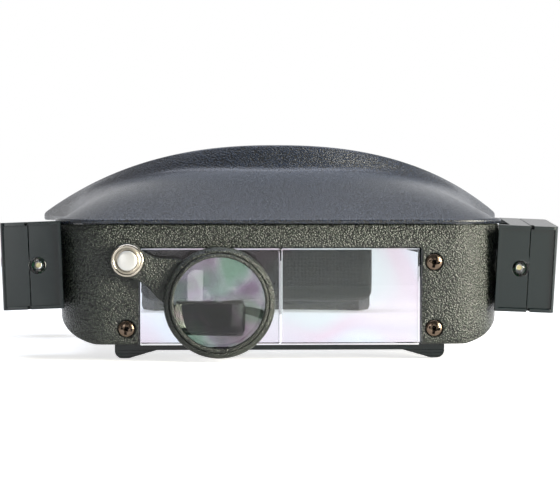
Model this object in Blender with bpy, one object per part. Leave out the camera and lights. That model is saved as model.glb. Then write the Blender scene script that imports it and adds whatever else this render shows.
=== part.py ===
"""Head visor magnifier: hinged visor with a hood, a binocular lens plate, a flip-down second lens,
a swinging loupe, two battery lamps, and a headband with a knob that takes in the straps at the back.

World frame: metres, +X to the right seen from the front, +Y away from the viewer, +Z up. The sizes
below are in millimetres. Depth is measured back from the visor's front face, height from the table.
"""

import math

import bmesh
import bpy
from mathutils import Matrix, Vector

METRES = 0.001  # metres in one millimetre
GAP = 0.3  # running and seating clearance between two pieces
STEPS = 24  # sides of a round piece
SMALL_STEPS = 12  # sides of a screw, pin or rivet
RING_STEPS = 32  # sides of the loupe's ring

# Visor front: a bent wall, flat in front, round at the corners, flaring to the temples
FACE_FLAT = 60.0  # half width of the flat front
CORNER = 20.0  # outer radius of the corners
WALL = 2.2  # thickness of the moulded walls
FACE_TOP = 47.7
FACE_BOTTOM = 5.5
DRAFT = math.radians(2.2)  # the sides draw in downwards
WINDOW_HALF = 50.1
WINDOW_TOP = 39.8
FLARE_START = 45.0  # depth where the side leaves the straight
FLARE_POWER = 2.6
CHEEK_HALF = 87.0  # outer half width at the temples
CHEEK_RISE_START = 1.0  # depth where the side's lower edge leaves the face's
CHEEK_RISE_END = 28.5
CHEEK_BOTTOM = 20.0
TEMPLE_DEPTH = 120.0
TEMPLE_HEIGHT = 31.0
TEMPLE_RADIUS = 15.0
TEMPLE_BORE = 2.8

# Hood: lower rim, slope, upstand and crest
HOOD_OVERHANG = 0.8
HOOD_BOTTOM = FACE_TOP + GAP
RIM_HEIGHT = 1.7
CREST_DEPTH = 52.0
CREST_HEIGHT = 77.4
TIP_HEIGHT = 50.9
CREST_DROP = CREST_HEIGHT - TIP_HEIGHT
CREST_POWER = 2.3
TIP_HALF = 95.0
TIP_DEPTH = 125.0
SWEEP_POWER = 2.6
UPSTAND = 10.2  # height of the upstand at the middle
UPSTAND_RUN = 4.0
UPSTAND_POWER = 1.6
SLOPE_CROWN = 1.6
TAB_HALF = 7.0
TAB_DROP = 3.3
TAB_THICK = 1.6
HOOD_STATIONS = 15  # sections from the middle to a tip

# Lens clamp and main lens, behind the face
CLAMP_HALF = 60.0
CLAMP_TOP = 44.1
CLAMP_BOTTOM = 6.0
CLAMP_DEPTH = 4.7  # thickness of the clamp
LENS_HALF = 50.8
LENS_TOP = WINDOW_TOP + 1.2
LENS_THICK = 2.2
LENS_CROWN = 1.5
LENS_PEAK = 11.5  # height of the crown's top
LENS_EAR = 2.2  # height of the clamp's ledge under the lens ears
SCREW_X = 54.4
SCREW_HIGH = 34.6
SCREW_LOW = 11.1
SCREW_HEAD = 3.0
SCREW_SHANK = 1.2
SCREW_RECESS = 0.9
SCREWS = {
    "left_low": (-SCREW_X, SCREW_LOW),
    "right_low": (SCREW_X, SCREW_LOW),
    "right_high": (SCREW_X, SCREW_HIGH),
}

# Loupe, on its rivet
RIVET_X = -53.8
RIVET_HEIGHT = 35.3
RIVET_SHANK = 1.5
LOUPE_X = -21.7
LOUPE_HEIGHT = 20.5
LOUPE_RING = 19.6  # outer radius
LOUPE_SIGHT = 16.0  # visible lens radius
LOUPE_LENS = 17.2
ARM_THICK = 2.6
ARM_STANDOFF = 0.9  # boss that keeps the arm clear of the hood's rim
ARM_END = 6.2
ARM_ROOT = 8.5
RING_FRONT = 8.2
CUP_RADIUS = 5.8
NUT_RADIUS = 2.4  # push nut that holds the rivet behind the clamp
NUT_THICK = 1.2
LENS_SEAT = 4.6  # room behind the sight lip for the lens and its retainer

# Flip lens frame, hinged behind the clamp
FLIP_HINGE_DEPTH = 11.2
FLIP_HINGE_HEIGHT = 42.6
FLIP_FRONT = 8.2
FLIP_THICK = 3.0
FLIP_HALF = 57.7
FLIP_RAIL = 2.9  # height of the bottom rail's lower edge
FLIP_SIGHT_HALF = 49.9
FLIP_SIGHT_LOW = 4.6
FLIP_SIGHT_TOP = 39.2
FLIP_LENS_THICK = 1.6
FLIP_LENS_CROWN = 0.9
FLIP_REBATE = 1.3  # seat of the lens around the sight
FLIP_REBATE_LOW = 0.6
BARREL = 2.4
EAR_THICK = 2.0
PIN = 1.0
PIN_HOLD = 5.0  # how far a hinge pin goes into the barrel
TAB_OUTER = 59.0
TAB_INNER = 44.0
TAB_SLOPE = 10.0  # run of the finger tab's inner edge, down to its foot
TAB_CORNER = 2.6
TAB_RIBS = 3
TAB_RIB_PITCH = 1.15

# Lamps, measured from the pivot: across outward, back, up
LAMP_HALF = 81.35  # half distance between the pivots' faces
LAMP_DEPTH = 18.0
LAMP_HEIGHT = 33.3
LAMP_ROLL = DRAFT
LAMP_NOD = {"left": math.radians(-1.0), "right": math.radians(5.0)}
LAMP_REACH = 14.0  # half length, front to back
LAMP_TALL = 15.5  # half height
LAMP_SEAM = 7.55
LAMP_OUTER = 17.45
LAMP_SHELL = 1.7
LAMP_FLANGE = -4.05
LAMP_TRAY = 1.5
LAMP_RIM = 1.2
LAMP_EDGE = 2.0  # radius of the lid's outer edges
LAMP_SCREW = 1.4
LAMP_WASHER = 0.7
LAMP_BOSS = 6.5  # boss on the visor that the lamp turns against
LAMP_BOSS_START = -5.6
LAMP_BOSS_END = -GAP / 2 - LAMP_WASHER - GAP
LED_RADIUS = 2.5
LED_ACROSS = LAMP_SEAM - GAP / 2 - LED_RADIUS - 0.3  # its hole just breaks into the seam
CELL_RADIUS = 10.0
CELL_THICK = 3.2
CELL_START = 8.0
CELL_BACK = 0.6
BOARD_START = 3.8
BOARD_THICK = 1.2
SWITCH_ACROSS = 3.9
SWITCH_TRAVEL = 3.0

# Headband: half an upright oval in front, side arms, straps and a cradle at the back
ARM_ROOM = 6.0  # from the side arms' outer faces to the cheeks'
HEAD_HALF = CHEEK_HALF - ARM_ROOM
HEAD_LONG = 98.0
HEAD_CENTRE = 160.0
HEAD_POWER = 2.5
HEAD_FALL = math.radians(9.6)
BROW_HEIGHT = 52.0  # middle of the band in front
BROW_HALF = 14.0
ARM_HALF = 8.0
BAND_THICK = 2.4
BAND_END = 14.0  # degrees past the widest point
PAD_THICK = 8.0
STRAP_THICK = 1.6
STRAP_OUT = -BAND_THICK - GAP  # faces of the strap, from the head's oval
STRAP_IN = STRAP_OUT - STRAP_THICK
STRAP_HALF = 4.0
STRAP_FRONT_HALF = 6.0
STRAP_RIVET = 1.2
STRAP_RIVET_TURN = 6.0  # degrees past the widest point
PINION_TEETH = 11
PINION_PITCH = 5.6  # pitch radius
RACK_PITCH = math.tau * PINION_PITCH / PINION_TEETH
PITCH_DROP = 0.55  # from the pitch line to the roots of the teeth
TOOTH = 1.5
STRAP_SPREAD = PINION_PITCH - PITCH_DROP + STRAP_HALF  # from the cradle's middle to each strap's middle
RACK_START = 33.0  # half distance of the racks' ends from the middle
RACK_TEETH = 14

# Temple joint: the band's lug and boss, the bolt through it and its clamp knob
LUG_INNER = HEAD_HALF - 7.8
LUG_THICK = 3.0
BOSS_RADIUS = 9.0
TEMPLE_WASHER = 0.6
BOSS_END = CHEEK_HALF - WALL - 2 * GAP - TEMPLE_WASHER
BOLT_HEAD = 5.0
KNOB_RADIUS = 12.0
KNOB_REACH = 21.0
KNOB_DOME = 4.3
BOLT_REACH = KNOB_REACH - 8.0
FLUTE = 1.6
TEMPLE_FLUTES = 10

# Rear cradle and its knob
CRADLE_MIDDLE = 18.8
CRADLE_HALF = 38.0
CRADLE_WALL = 2.0
CRADLE_INNER = -6.5
CRADLE_OUTER = 2.0
CRADLE_HUB = 11.0
HUB_FACE = CRADLE_OUTER + 2.0
CAVITY_OUT = STRAP_OUT + GAP
COVER_OUT = STRAP_IN - GAP
SHAFT = 2.7
KNOB_SCREW = 1.1
REAR_KNOB = 18.0
REAR_KNOB_REACH = 16.0
REAR_FLUTES = 12
REAR_PAD_REACH = 5.0  # from the housing's end to the pad's, along the oval

FRONT_REACH = RING_FRONT
BACK_REACH = HEAD_CENTRE + HEAD_LONG + REAR_KNOB_REACH
FACE_Y = -(BACK_REACH - FRONT_REACH) / 2

FINISHES = {
    "moulded": ((0.030, 0.030, 0.028), 0.0, 0.55),
    "smooth_plastic": ((0.030, 0.042, 0.045), 0.0, 0.35),
    "clear_acrylic": ((0.85, 0.90, 0.90), 0.0, 0.05),
    "bright_metal": ((0.75, 0.76, 0.78), 1.0, 0.25),
    "dark_metal": ((0.16, 0.11, 0.08), 1.0, 0.40),
    "foam": ((0.05, 0.05, 0.055), 0.0, 0.90),
    "strap_plastic": ((0.045, 0.045, 0.048), 0.0, 0.50),
    "circuit": ((0.03, 0.16, 0.07), 0.0, 0.45),
    "led": ((0.80, 0.85, 0.90), 0.0, 0.15),
    "rubber": ((0.02, 0.02, 0.02), 0.0, 0.80),
}


def clear_scene():
    for item in list(bpy.data.objects):
        bpy.data.objects.remove(item)


def finish_material(name):
    if name in bpy.data.materials:
        return bpy.data.materials[name]
    colour, metallic, roughness = FINISHES[name]
    material = bpy.data.materials.new(name)
    material.use_nodes = True
    shader = material.node_tree.nodes["Principled BSDF"]
    shader.inputs["Base Color"].default_value = (*colour, 1.0)
    shader.inputs["Metallic"].default_value = metallic
    shader.inputs["Roughness"].default_value = roughness
    return material


# Solids. Each maker works in the frame (across, depth, height), in millimetres.


def solid(name, shape):
    bmesh.ops.remove_doubles(shape, verts=shape.verts, dist=0.0005)
    bmesh.ops.recalc_face_normals(shape, faces=shape.faces)
    mesh = bpy.data.meshes.new(name)
    shape.to_mesh(mesh)
    shape.free()
    piece = bpy.data.objects.new(name, mesh)
    bpy.context.collection.objects.link(piece)
    return piece


def place(axis, a, b, along):
    return {"X": (along, a, b), "Y": (a, along, b), "Z": (a, b, along)}[axis]


def prism(name, outline, axis, low, high):
    """An outline in the two other directions, drawn from low to high along the axis."""
    shape = bmesh.new()
    floor = [shape.verts.new(place(axis, a, b, low)) for a, b in outline]
    face = shape.faces.new(floor)
    drawn = bmesh.ops.extrude_face_region(shape, geom=[face])["geom"]
    rise = Vector(place(axis, 0.0, 0.0, high - low))
    bmesh.ops.translate(shape, verts=[v for v in drawn if isinstance(v, bmesh.types.BMVert)], vec=rise)
    return solid(name, shape)


def block(name, low, high):
    outline = [(low[0], low[1]), (high[0], low[1]), (high[0], high[1]), (low[0], high[1])]
    return prism(name, outline, "Z", low[2], high[2])


def turned(name, profile, axis, centre, steps=STEPS):
    """A profile of (radius, along) points turned about a line through centre along the axis."""
    shape = bmesh.new()
    turn_axis = Vector(place(axis, 0.0, 0.0, 1.0))
    arm = Vector(place(axis, 1.0, 0.0, 0.0))
    points = [shape.verts.new(arm * radius + turn_axis * along) for radius, along in profile]
    closed = profile[0][0] > 0.0 and profile[-1][0] > 0.0
    edges = [shape.edges.new(pair) for pair in zip(points, points[1:])]
    if closed:
        edges.append(shape.edges.new((points[-1], points[0])))
    bmesh.ops.spin(
        shape, geom=points + edges, cent=(0, 0, 0), axis=turn_axis, angle=math.tau, steps=steps,
        use_merge=True, use_duplicate=False,
    )
    bmesh.ops.translate(shape, verts=shape.verts, vec=Vector(centre))
    return solid(name, shape)


def disc(name, radius, axis, centre, low, high, steps=STEPS):
    return turned(name, [(0.0, low), (radius, low), (radius, high), (0.0, high)], axis, centre, steps)


def loft(name, rings):
    """A solid through rings of points, closed by a flat face at each end."""
    shape = bmesh.new()
    rows = [[shape.verts.new(point) for point in ring] for ring in rings]
    for near, far in zip(rows, rows[1:]):
        for i in range(len(near)):
            j = (i + 1) % len(near)
            shape.faces.new((near[i], near[j], far[j], far[i]))
    shape.faces.new(rows[0])
    shape.faces.new(rows[-1])
    return solid(name, shape)


def combine(piece, tool, operation):
    modifier = piece.modifiers.new(operation, "BOOLEAN")
    modifier.object = tool
    modifier.operation = operation
    modifier.solver = "EXACT"
    bpy.context.view_layer.update()
    view = bpy.context.evaluated_depsgraph_get()
    result = bpy.data.meshes.new_from_object(piece.evaluated_get(view))
    before = piece.data
    piece.modifiers.clear()
    piece.data = result
    bpy.data.meshes.remove(before)
    bpy.data.objects.remove(tool)
    return piece


def cut(piece, tool):
    return combine(piece, tool, "DIFFERENCE")


def join(piece, tool):
    return combine(piece, tool, "UNION")


def keep_inside(piece, tool):
    return combine(piece, tool, "INTERSECT")


# Pivots and seating


PIVOTS = {}


def to_world(across, depth, height):
    return Vector((across, FACE_Y + depth, height)) * METRES


def add_pivot(name, point, parent=None, turn=None):
    """An empty on a joint's axis, at a point of the frame, carried by its parent."""
    matrix = Matrix.Translation(to_world(*point)) @ (turn or Matrix.Identity(4))
    empty = bpy.data.objects.new(name, None)
    empty.empty_display_size = 0.01
    bpy.context.collection.objects.link(empty)
    PIVOTS[name] = matrix
    if parent:
        empty.parent = bpy.data.objects[parent]
        empty.matrix_basis = PIVOTS[parent].inverted() @ matrix
    else:
        empty.matrix_basis = matrix
    return name


def seat(piece, pivot, finish, local=False):
    """Hang a piece on its pivot. A local piece is already measured from the pivot."""
    scale = Matrix.Scale(METRES, 4)
    if local:
        piece.data.transform(scale)
    else:
        shift = Matrix.Translation(Vector((0.0, FACE_Y * METRES, 0.0)))
        piece.data.transform(PIVOTS[pivot].inverted() @ shift @ scale)
    piece.parent = bpy.data.objects[pivot]
    piece.data.materials.clear()
    piece.data.materials.append(finish_material(finish))
    for polygon in piece.data.polygons:
        polygon.material_index = 0
    piece.data.shade_smooth()
    piece.data.set_sharp_from_angle(angle=math.radians(32))
    return piece


# Curves of the visor


def arc(centre, radius, start, end, steps):
    for i in range(steps + 1):
        angle = math.radians(start + (end - start) * i / steps)
        yield centre[0] + radius * math.cos(angle), centre[1] + radius * math.sin(angle)


def flare(depth):
    """0 on the straight side, 1 at the temples."""
    end = TEMPLE_DEPTH - TEMPLE_RADIUS
    share = min(max((depth - FLARE_START) / (end - FLARE_START), 0.0), 1.0)
    return share**FLARE_POWER


def wall_line(inset):
    """Plan of the visor's right half, from the middle of the face to behind the temple."""
    side = FACE_FLAT + CORNER
    line = [(0.0, inset), (FACE_FLAT / 2, inset)]
    line += arc((FACE_FLAT, CORNER), CORNER - inset, -90, 0, 9)
    end = TEMPLE_DEPTH + TEMPLE_RADIUS + WALL
    stations = 8
    for i in range(stations + 1):
        depth = FLARE_START + (TEMPLE_DEPTH - TEMPLE_RADIUS - FLARE_START) * i / stations
        line.append((side + (CHEEK_HALF - side) * flare(depth) - inset, depth))
    line.append((CHEEK_HALF - inset, end))
    return line


def drafted(point, height):
    across, depth = point
    weight = min(max((across - FACE_FLAT) / CORNER, 0.0), 1.0) * (1.0 - flare(depth))
    return across - weight * (FACE_TOP - height) * math.tan(DRAFT), depth


def wall_ring(height):
    outer = [drafted(p, height) for p in wall_line(0.0)]
    inner = [drafted(p, height) for p in wall_line(WALL)]
    right = list(reversed(outer))
    left = [(-x, d) for x, d in outer[1:]]
    inside = [(-x, d) for x, d in reversed(inner)] + inner[1:]
    return [(x, d, height) for x, d in right + left + inside]


def side_view():
    """Outline of the visor's cheek seen from the side: (depth, height)."""
    front = -5.0
    above = FACE_TOP + 10.0
    outline = [(front, above), (front, FACE_BOTTOM), (CHEEK_RISE_START, FACE_BOTTOM)]
    outline += [(CHEEK_RISE_END, CHEEK_BOTTOM)]
    outline += arc((TEMPLE_DEPTH, TEMPLE_HEIGHT), TEMPLE_RADIUS, -132, 68, 14)
    outline += [(TEMPLE_DEPTH - 2.0, FACE_TOP), (TEMPLE_DEPTH - 6.0, above)]
    return outline


def front_frame():
    frame = loft("front_frame", [wall_ring(FACE_BOTTOM - 1.0), wall_ring(FACE_TOP)])
    reach = max(FACE_FLAT + CORNER, CHEEK_HALF) + WALL
    keep_inside(frame, prism("side", side_view(), "X", -reach, reach))
    for side in (-1, 1):
        boss = disc("boss", LAMP_BOSS, "X", (0, 0, 0), LAMP_BOSS_START, LAMP_BOSS_END, STEPS)
        join(frame, at_lamp(boss, side))
    corner = 0.6
    window = [(-WINDOW_HALF, -1.0), (WINDOW_HALF, -1.0)]
    window += arc((WINDOW_HALF - corner, WINDOW_TOP - corner), corner, 0, 90, 3)
    window += arc((corner - WINDOW_HALF, WINDOW_TOP - corner), corner, 90, 180, 3)
    cut(frame, prism("window", window, "Y", -WALL, 2 * WALL))
    for across, height in SCREWS.values():
        centre = (across, 0.0, height)
        recess = [(0.0, -1.0), (SCREW_HEAD + GAP, -1.0), (SCREW_HEAD + GAP, SCREW_RECESS)]
        recess += [(SCREW_SHANK + GAP, SCREW_RECESS), (SCREW_SHANK + GAP, 2 * WALL), (0.0, 2 * WALL)]
        cut(frame, turned("hole", recess, "Y", centre))
    rivet = (RIVET_X, 0.0, RIVET_HEIGHT)
    cut(frame, disc("hole", RIVET_SHANK + GAP, "Y", rivet, -1.0, 2 * WALL, SMALL_STEPS))
    temple = (0.0, TEMPLE_DEPTH, TEMPLE_HEIGHT)
    for side in (-1, 1):
        ends = sorted((side * (CHEEK_HALF + 2.0), side * (CHEEK_HALF - WALL - 2.0)))
        cut(frame, disc("hole", TEMPLE_BORE, "X", temple, *ends, SMALL_STEPS))
        pivot = disc("hole", LAMP_SCREW + GAP, "X", (0, 0, 0), LAMP_BOSS_START - 3.0, 1.0, SMALL_STEPS)
        cut(frame, at_lamp(pivot, side))
    return seat(frame, "visor_pivot", "moulded")


def at_lamp(piece, side):
    """Move a solid from lamp measures (outward, back, up) to the visor's frame."""
    piece.data.transform(Matrix.Rotation(LAMP_ROLL, 4, "Y"))
    piece.data.transform(Matrix.Translation((LAMP_HALF, LAMP_DEPTH, LAMP_HEIGHT)))
    return mirrored(piece, side)


# Hood


def smooth_line(points, count):
    """Points at even steps along a line."""
    lengths = [0.0]
    for (ax, ay), (bx, by) in zip(points, points[1:]):
        lengths.append(lengths[-1] + math.hypot(bx - ax, by - ay))
    even = []
    for i in range(count + 1):
        want = lengths[-1] * i / count
        k = max(j for j in range(len(lengths) - 1) if lengths[j] <= want)
        share = (want - lengths[k]) / (lengths[k + 1] - lengths[k])
        even.append(
            tuple(a + (b - a) * share for a, b in zip(points[k], points[k + 1]))
        )
    return even


def rim_line():
    """Plan of the hood's lower rim, right half, from the middle to the wing's tip."""
    side = FACE_FLAT + CORNER + HOOD_OVERHANG
    line = [(0.0, -HOOD_OVERHANG)]
    line += arc((FACE_FLAT, CORNER), CORNER + HOOD_OVERHANG, -90, 0, 12)
    stations = 16
    for i in range(stations + 1):
        depth = FLARE_START + (TIP_DEPTH - 2.0 - FLARE_START) * i / stations
        share = (depth - FLARE_START) / (TIP_DEPTH - 2.0 - FLARE_START)
        line.append((side + (TIP_HALF - 0.6 - side) * share**FLARE_POWER, depth))
    return line


def hood_section(rim, share):
    """One section of the hood: outer points from the rim to the crest, then the inner ones back."""
    crest_x = TIP_HALF * share
    crest_d = CREST_DEPTH + (TIP_DEPTH - CREST_DEPTH) * share**SWEEP_POWER
    crest_z = CREST_HEIGHT - CREST_DROP * share**CREST_POWER
    run, turn = crest_x - rim[0], crest_d - rim[1]
    reach = math.hypot(run, turn)
    ex, ed = run / reach, turn / reach
    rise = crest_z - HOOD_BOTTOM
    step = max(UPSTAND * (1.0 - share**UPSTAND_POWER), 0.12 * rise)
    foot_u = reach - min(UPSTAND_RUN, 0.25 * reach)
    foot_w = rise - step
    lip = min(1.0, 0.3 * reach)
    slope_u, slope_w = lip, min(RIM_HEIGHT + 0.2, 0.55 * rise)
    outer = [(0.0, 0.0), (0.0, 0.8 * slope_w), (0.4 * lip, slope_w)]
    crown = SLOPE_CROWN * min(1.0, (foot_u - slope_u) / 30.0)
    for f in (0.0, 0.2, 0.4, 0.6, 0.8):
        lift = crown * 4.0 * f * (1.0 - f)
        outer.append((slope_u + (foot_u - slope_u) * f, slope_w + (foot_w - slope_w) * f + lift))
    outer += [(foot_u, foot_w), (reach, rise)]
    inner = [(reach + WALL, rise - 0.7), (foot_u + WALL, foot_w - 0.75 * WALL)]
    drop = WALL
    for f in (0.8, 0.6, 0.4, 0.2):
        lift = crown * 4.0 * f * (1.0 - f)
        start_w = max(slope_w - drop, 0.0)
        low = start_w + (foot_w - 0.9 * drop - start_w) * f + lift
        inner.append((slope_u + WALL + (foot_u - slope_u) * f, low))
    inner.append((WALL + lip, 0.0))
    return [(rim[0] + ex * u, rim[1] + ed * u, HOOD_BOTTOM + w) for u, w in outer + inner]


def hood_shell():
    rims = smooth_line(rim_line(), HOOD_STATIONS)
    right = [hood_section(rim, i / HOOD_STATIONS) for i, rim in enumerate(rims)]
    left = [[(-x, d, z) for x, d, z in ring] for ring in reversed(right[1:])]
    hood = loft("hood_shell", left + right)
    front = WALL + GAP
    for across in (-FACE_FLAT / 2, FACE_FLAT / 2):
        low = (across - TAB_HALF, front, HOOD_BOTTOM - TAB_DROP)
        high = (across + TAB_HALF, front + TAB_THICK, HOOD_BOTTOM + 1.5)
        join(hood, block("tab", low, high))
    for side in (-1, 1):
        inner = FACE_FLAT + CORNER - WALL - GAP - (TAB_DROP + GAP) * math.tan(DRAFT)
        ends = sorted((side * inner, side * (inner - TAB_THICK)))
        depth = FLARE_START - 2 * TAB_HALF
        low = (ends[0], depth, HOOD_BOTTOM - TAB_DROP)
        high = (ends[1], depth + 2 * TAB_HALF, HOOD_BOTTOM + 2.6)
        join(hood, block("tab", low, high))
    return seat(hood, "visor_pivot", "moulded")


# Lenses and their frames


def lens_body(name, half, low, high, front, back, crown):
    """A plate whose face stands out in one shallow crown, thickest at the nose."""
    columns, rows = 16, 6
    reach = math.hypot(half, high - LENS_PEAK) * 1.02
    shape = bmesh.new()

    def surface(i, j):
        x = -half + 2 * half * i / columns
        z = low + (high - low) * j / rows
        away = math.hypot(x, z - LENS_PEAK) / reach
        return x, front - crown * (1.0 - away * away), z

    face = [[shape.verts.new(surface(i, j)) for j in range(rows + 1)] for i in range(columns + 1)]
    for i in range(columns):
        for j in range(rows):
            shape.faces.new((face[i][j], face[i + 1][j], face[i + 1][j + 1], face[i][j + 1]))
    border = [face[i][0] for i in range(columns + 1)]
    border += [face[columns][j] for j in range(1, rows + 1)]
    border += [face[i][rows] for i in range(columns - 1, -1, -1)]
    border += [face[0][j] for j in range(rows - 1, 0, -1)]
    base = [shape.verts.new((v.co.x, back, v.co.z)) for v in border]
    for k in range(len(border)):
        m = (k + 1) % len(border)
        shape.faces.new((border[k], border[m], base[m], base[k]))
    shape.faces.new(base)
    return solid(name, shape)


def main_lens():
    front = WALL + GAP
    ledge = CLAMP_BOTTOM + LENS_EAR
    inner = WINDOW_HALF - GAP
    outline = [(-inner, FACE_BOTTOM), (inner, FACE_BOTTOM), (inner, ledge), (LENS_HALF, ledge)]
    outline += [(LENS_HALF, LENS_TOP), (-LENS_HALF, LENS_TOP), (-LENS_HALF, ledge), (-inner, ledge)]
    lens = prism("main_lens", outline, "Y", front, front + LENS_THICK)
    crown = lens_body(
        "crown", inner - 0.02, FACE_BOTTOM + 0.02, WINDOW_TOP - GAP,
        front - GAP, front + LENS_THICK / 2, LENS_CROWN,
    )
    join(lens, crown)
    return seat(lens, "visor_pivot", "clear_acrylic")


def lens_clamp():
    front = WALL + GAP
    back = front + CLAMP_DEPTH
    sight = WINDOW_HALF + GAP
    outline = [(-CLAMP_HALF, CLAMP_BOTTOM), (-sight, CLAMP_BOTTOM), (-sight, WINDOW_TOP)]
    outline += [(sight, WINDOW_TOP), (sight, CLAMP_BOTTOM), (CLAMP_HALF, CLAMP_BOTTOM)]
    outline += [(CLAMP_HALF, CLAMP_TOP), (-CLAMP_HALF, CLAMP_TOP)]
    clamp = prism("lens_clamp", outline, "Y", front, back)
    room = LENS_HALF + GAP
    low = CLAMP_BOTTOM + LENS_EAR - GAP
    pocket_back = front + LENS_THICK + GAP
    cut(clamp, block("pocket", (-room, 0.0, low), (room, pocket_back, LENS_TOP + GAP)))
    for side in (-1, 1):
        ends = sorted((side * (FLIP_HALF + GAP), side * (FLIP_HALF + GAP + EAR_THICK)))
        ear_low = (ends[0], back - 1.0, FLIP_HINGE_HEIGHT - BARREL - 1.0)
        ear_high = (ends[1], FLIP_HINGE_DEPTH + BARREL, FLIP_HINGE_HEIGHT + BARREL)
        join(clamp, block("ear", ear_low, ear_high))
        hinge = (0.0, FLIP_HINGE_DEPTH, FLIP_HINGE_HEIGHT)
        hole = sorted((side * (FLIP_HALF - 1.0), side * (CLAMP_HALF + 3.0)))
        cut(clamp, disc("hole", PIN + GAP, "X", hinge, *hole, SMALL_STEPS))
    for across, height in SCREWS.values():
        centre = (across, 0.0, height)
        cut(clamp, disc("hole", SCREW_SHANK + GAP, "Y", centre, 0.0, back + 1.0, SMALL_STEPS))
    rivet = (RIVET_X, 0.0, RIVET_HEIGHT)
    seat_depth = back - NUT_THICK - 2 * GAP
    recess = [(0.0, 0.0), (RIVET_SHANK + GAP, 0.0), (RIVET_SHANK + GAP, seat_depth)]
    recess += [(NUT_RADIUS + GAP, seat_depth), (NUT_RADIUS + GAP, back + 1.0), (0.0, back + 1.0)]
    cut(clamp, turned("hole", recess, "Y", rivet, SMALL_STEPS))
    return seat(clamp, "visor_pivot", "smooth_plastic")


def pan_head_screw(name, centre, head_radius, shank_radius, head_back, tip):
    """A pan-head screw along depth, its head in front of head_back, with a cross recess."""
    head = 0.5 * head_radius
    profile = [(0.0, head_back - head), (0.55 * head_radius, head_back - 0.94 * head)]
    profile += [(0.88 * head_radius, head_back - 0.66 * head), (head_radius, head_back - 0.3 * head)]
    profile += [(head_radius, head_back), (shank_radius, head_back), (shank_radius, tip - shank_radius)]
    profile += [(0.3 * shank_radius, tip), (0.0, tip)]
    screw = turned(name, profile, "Y", centre, SMALL_STEPS)
    cross_cut(screw, centre, head_back - head, 0.6 * head_radius, 0.16 * head_radius, 0.5 * head)
    return screw


def cross_cut(screw, centre, top, reach, half, deep):
    x, y, z = centre
    cut(screw, block("slot", (x - reach, y + top - 1.0, z - half), (x + reach, y + top + deep, z + half)))
    cut(screw, block("slot", (x - half, y + top - 1.0, z - reach), (x + half, y + top + deep, z + reach)))


def frame_screws():
    tip = WALL + GAP + CLAMP_DEPTH - 0.4
    for name, (across, height) in SCREWS.items():
        screw = pan_head_screw(
            "frame_screw_" + name, (across, 0.0, height), SCREW_HEAD, SCREW_SHANK, SCREW_RECESS - GAP, tip
        )
        seat(screw, "visor_pivot", "dark_metal")


# Flip lens


def flip_frame():
    front = FLIP_FRONT
    back = FLIP_FRONT + FLIP_THICK
    outline = [(-TAB_INNER, FLIP_RAIL), (TAB_INNER, FLIP_RAIL), (TAB_INNER + TAB_SLOPE, 0.0)]
    outline += arc((TAB_OUTER - TAB_CORNER, TAB_CORNER), TAB_CORNER, -90, 0, 6)
    outline += [(TAB_OUTER, 5.0), (FLIP_HALF, 6.2), (FLIP_HALF, FLIP_HINGE_HEIGHT)]
    outline += [(-x, z) for x, z in reversed(outline[2:])]
    frame = prism("flip_frame", outline, "Y", front, back)
    hinge = (0.0, FLIP_HINGE_DEPTH, FLIP_HINGE_HEIGHT)
    reach = FLIP_HALF - 0.2
    join(frame, disc("barrel", BARREL, "X", hinge, -reach, reach, SMALL_STEPS))
    sight = [(-FLIP_SIGHT_HALF, FLIP_SIGHT_LOW), (FLIP_SIGHT_HALF, FLIP_SIGHT_LOW)]
    sight += [(FLIP_SIGHT_HALF, FLIP_SIGHT_TOP), (-FLIP_SIGHT_HALF, FLIP_SIGHT_TOP)]
    cut(frame, prism("sight", sight, "Y", front - 1.0, back + 2.0))
    rim = FLIP_REBATE
    low = (-FLIP_SIGHT_HALF - rim, front + 1.0, FLIP_SIGHT_LOW - FLIP_REBATE_LOW)
    high = (FLIP_SIGHT_HALF + rim, back + 1.0, FLIP_SIGHT_TOP + rim)
    cut(frame, block("pocket", low, high))
    for side in (-1, 1):
        ends = sorted((side * (FLIP_HALF - PIN_HOLD), side * (FLIP_HALF + 1.0)))
        cut(frame, disc("hole", PIN + GAP, "X", hinge, *ends, SMALL_STEPS))
        ends = sorted((side * (TAB_INNER + 1.0), side * (TAB_OUTER + 1.0)))
        for k in range(TAB_RIBS):
            height = TAB_RIB_PITCH * (k + 0.65)
            low = (ends[0], front - 1.0, height - 0.25)
            high = (ends[1], front + 0.5, height + 0.25)
            cut(frame, block("grip", low, high))
    return seat(frame, "flip_pivot", "smooth_plastic")


def flip_lens():
    half = FLIP_SIGHT_HALF + FLIP_REBATE - GAP
    low = FLIP_SIGHT_LOW - FLIP_REBATE_LOW + GAP
    top = FLIP_SIGHT_TOP + FLIP_REBATE - GAP
    front = FLIP_FRONT + 1.0 + GAP
    outline = [(-half, low), (half, low), (half, top), (-half, top)]
    lens = prism("flip_lens", outline, "Y", front, front + FLIP_LENS_THICK)
    body = lens_body(
        "crown", FLIP_SIGHT_HALF - GAP, FLIP_SIGHT_LOW + GAP, FLIP_SIGHT_TOP - GAP,
        front - GAP, front + FLIP_LENS_THICK / 2, FLIP_LENS_CROWN,
    )
    join(lens, body)
    return seat(lens, "flip_pivot", "clear_acrylic")


def flip_pins():
    for side, name in ((-1, "left"), (1, "right")):
        inner = FLIP_HALF - PIN_HOLD + GAP
        head = FLIP_HALF + GAP + EAR_THICK + GAP
        profile = [(0.0, inner), (PIN, inner), (PIN, head), (2 * PIN, head)]
        profile += [(2 * PIN, head + 0.8), (0.0, head + 0.8)]
        profile = [(radius, side * along) for radius, along in profile]
        hinge = (0.0, FLIP_HINGE_DEPTH, FLIP_HINGE_HEIGHT)
        pin = turned("flip_pin_" + name, profile, "X", hinge, SMALL_STEPS)
        seat(pin, "visor_pivot", "bright_metal")


# Loupe


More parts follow.
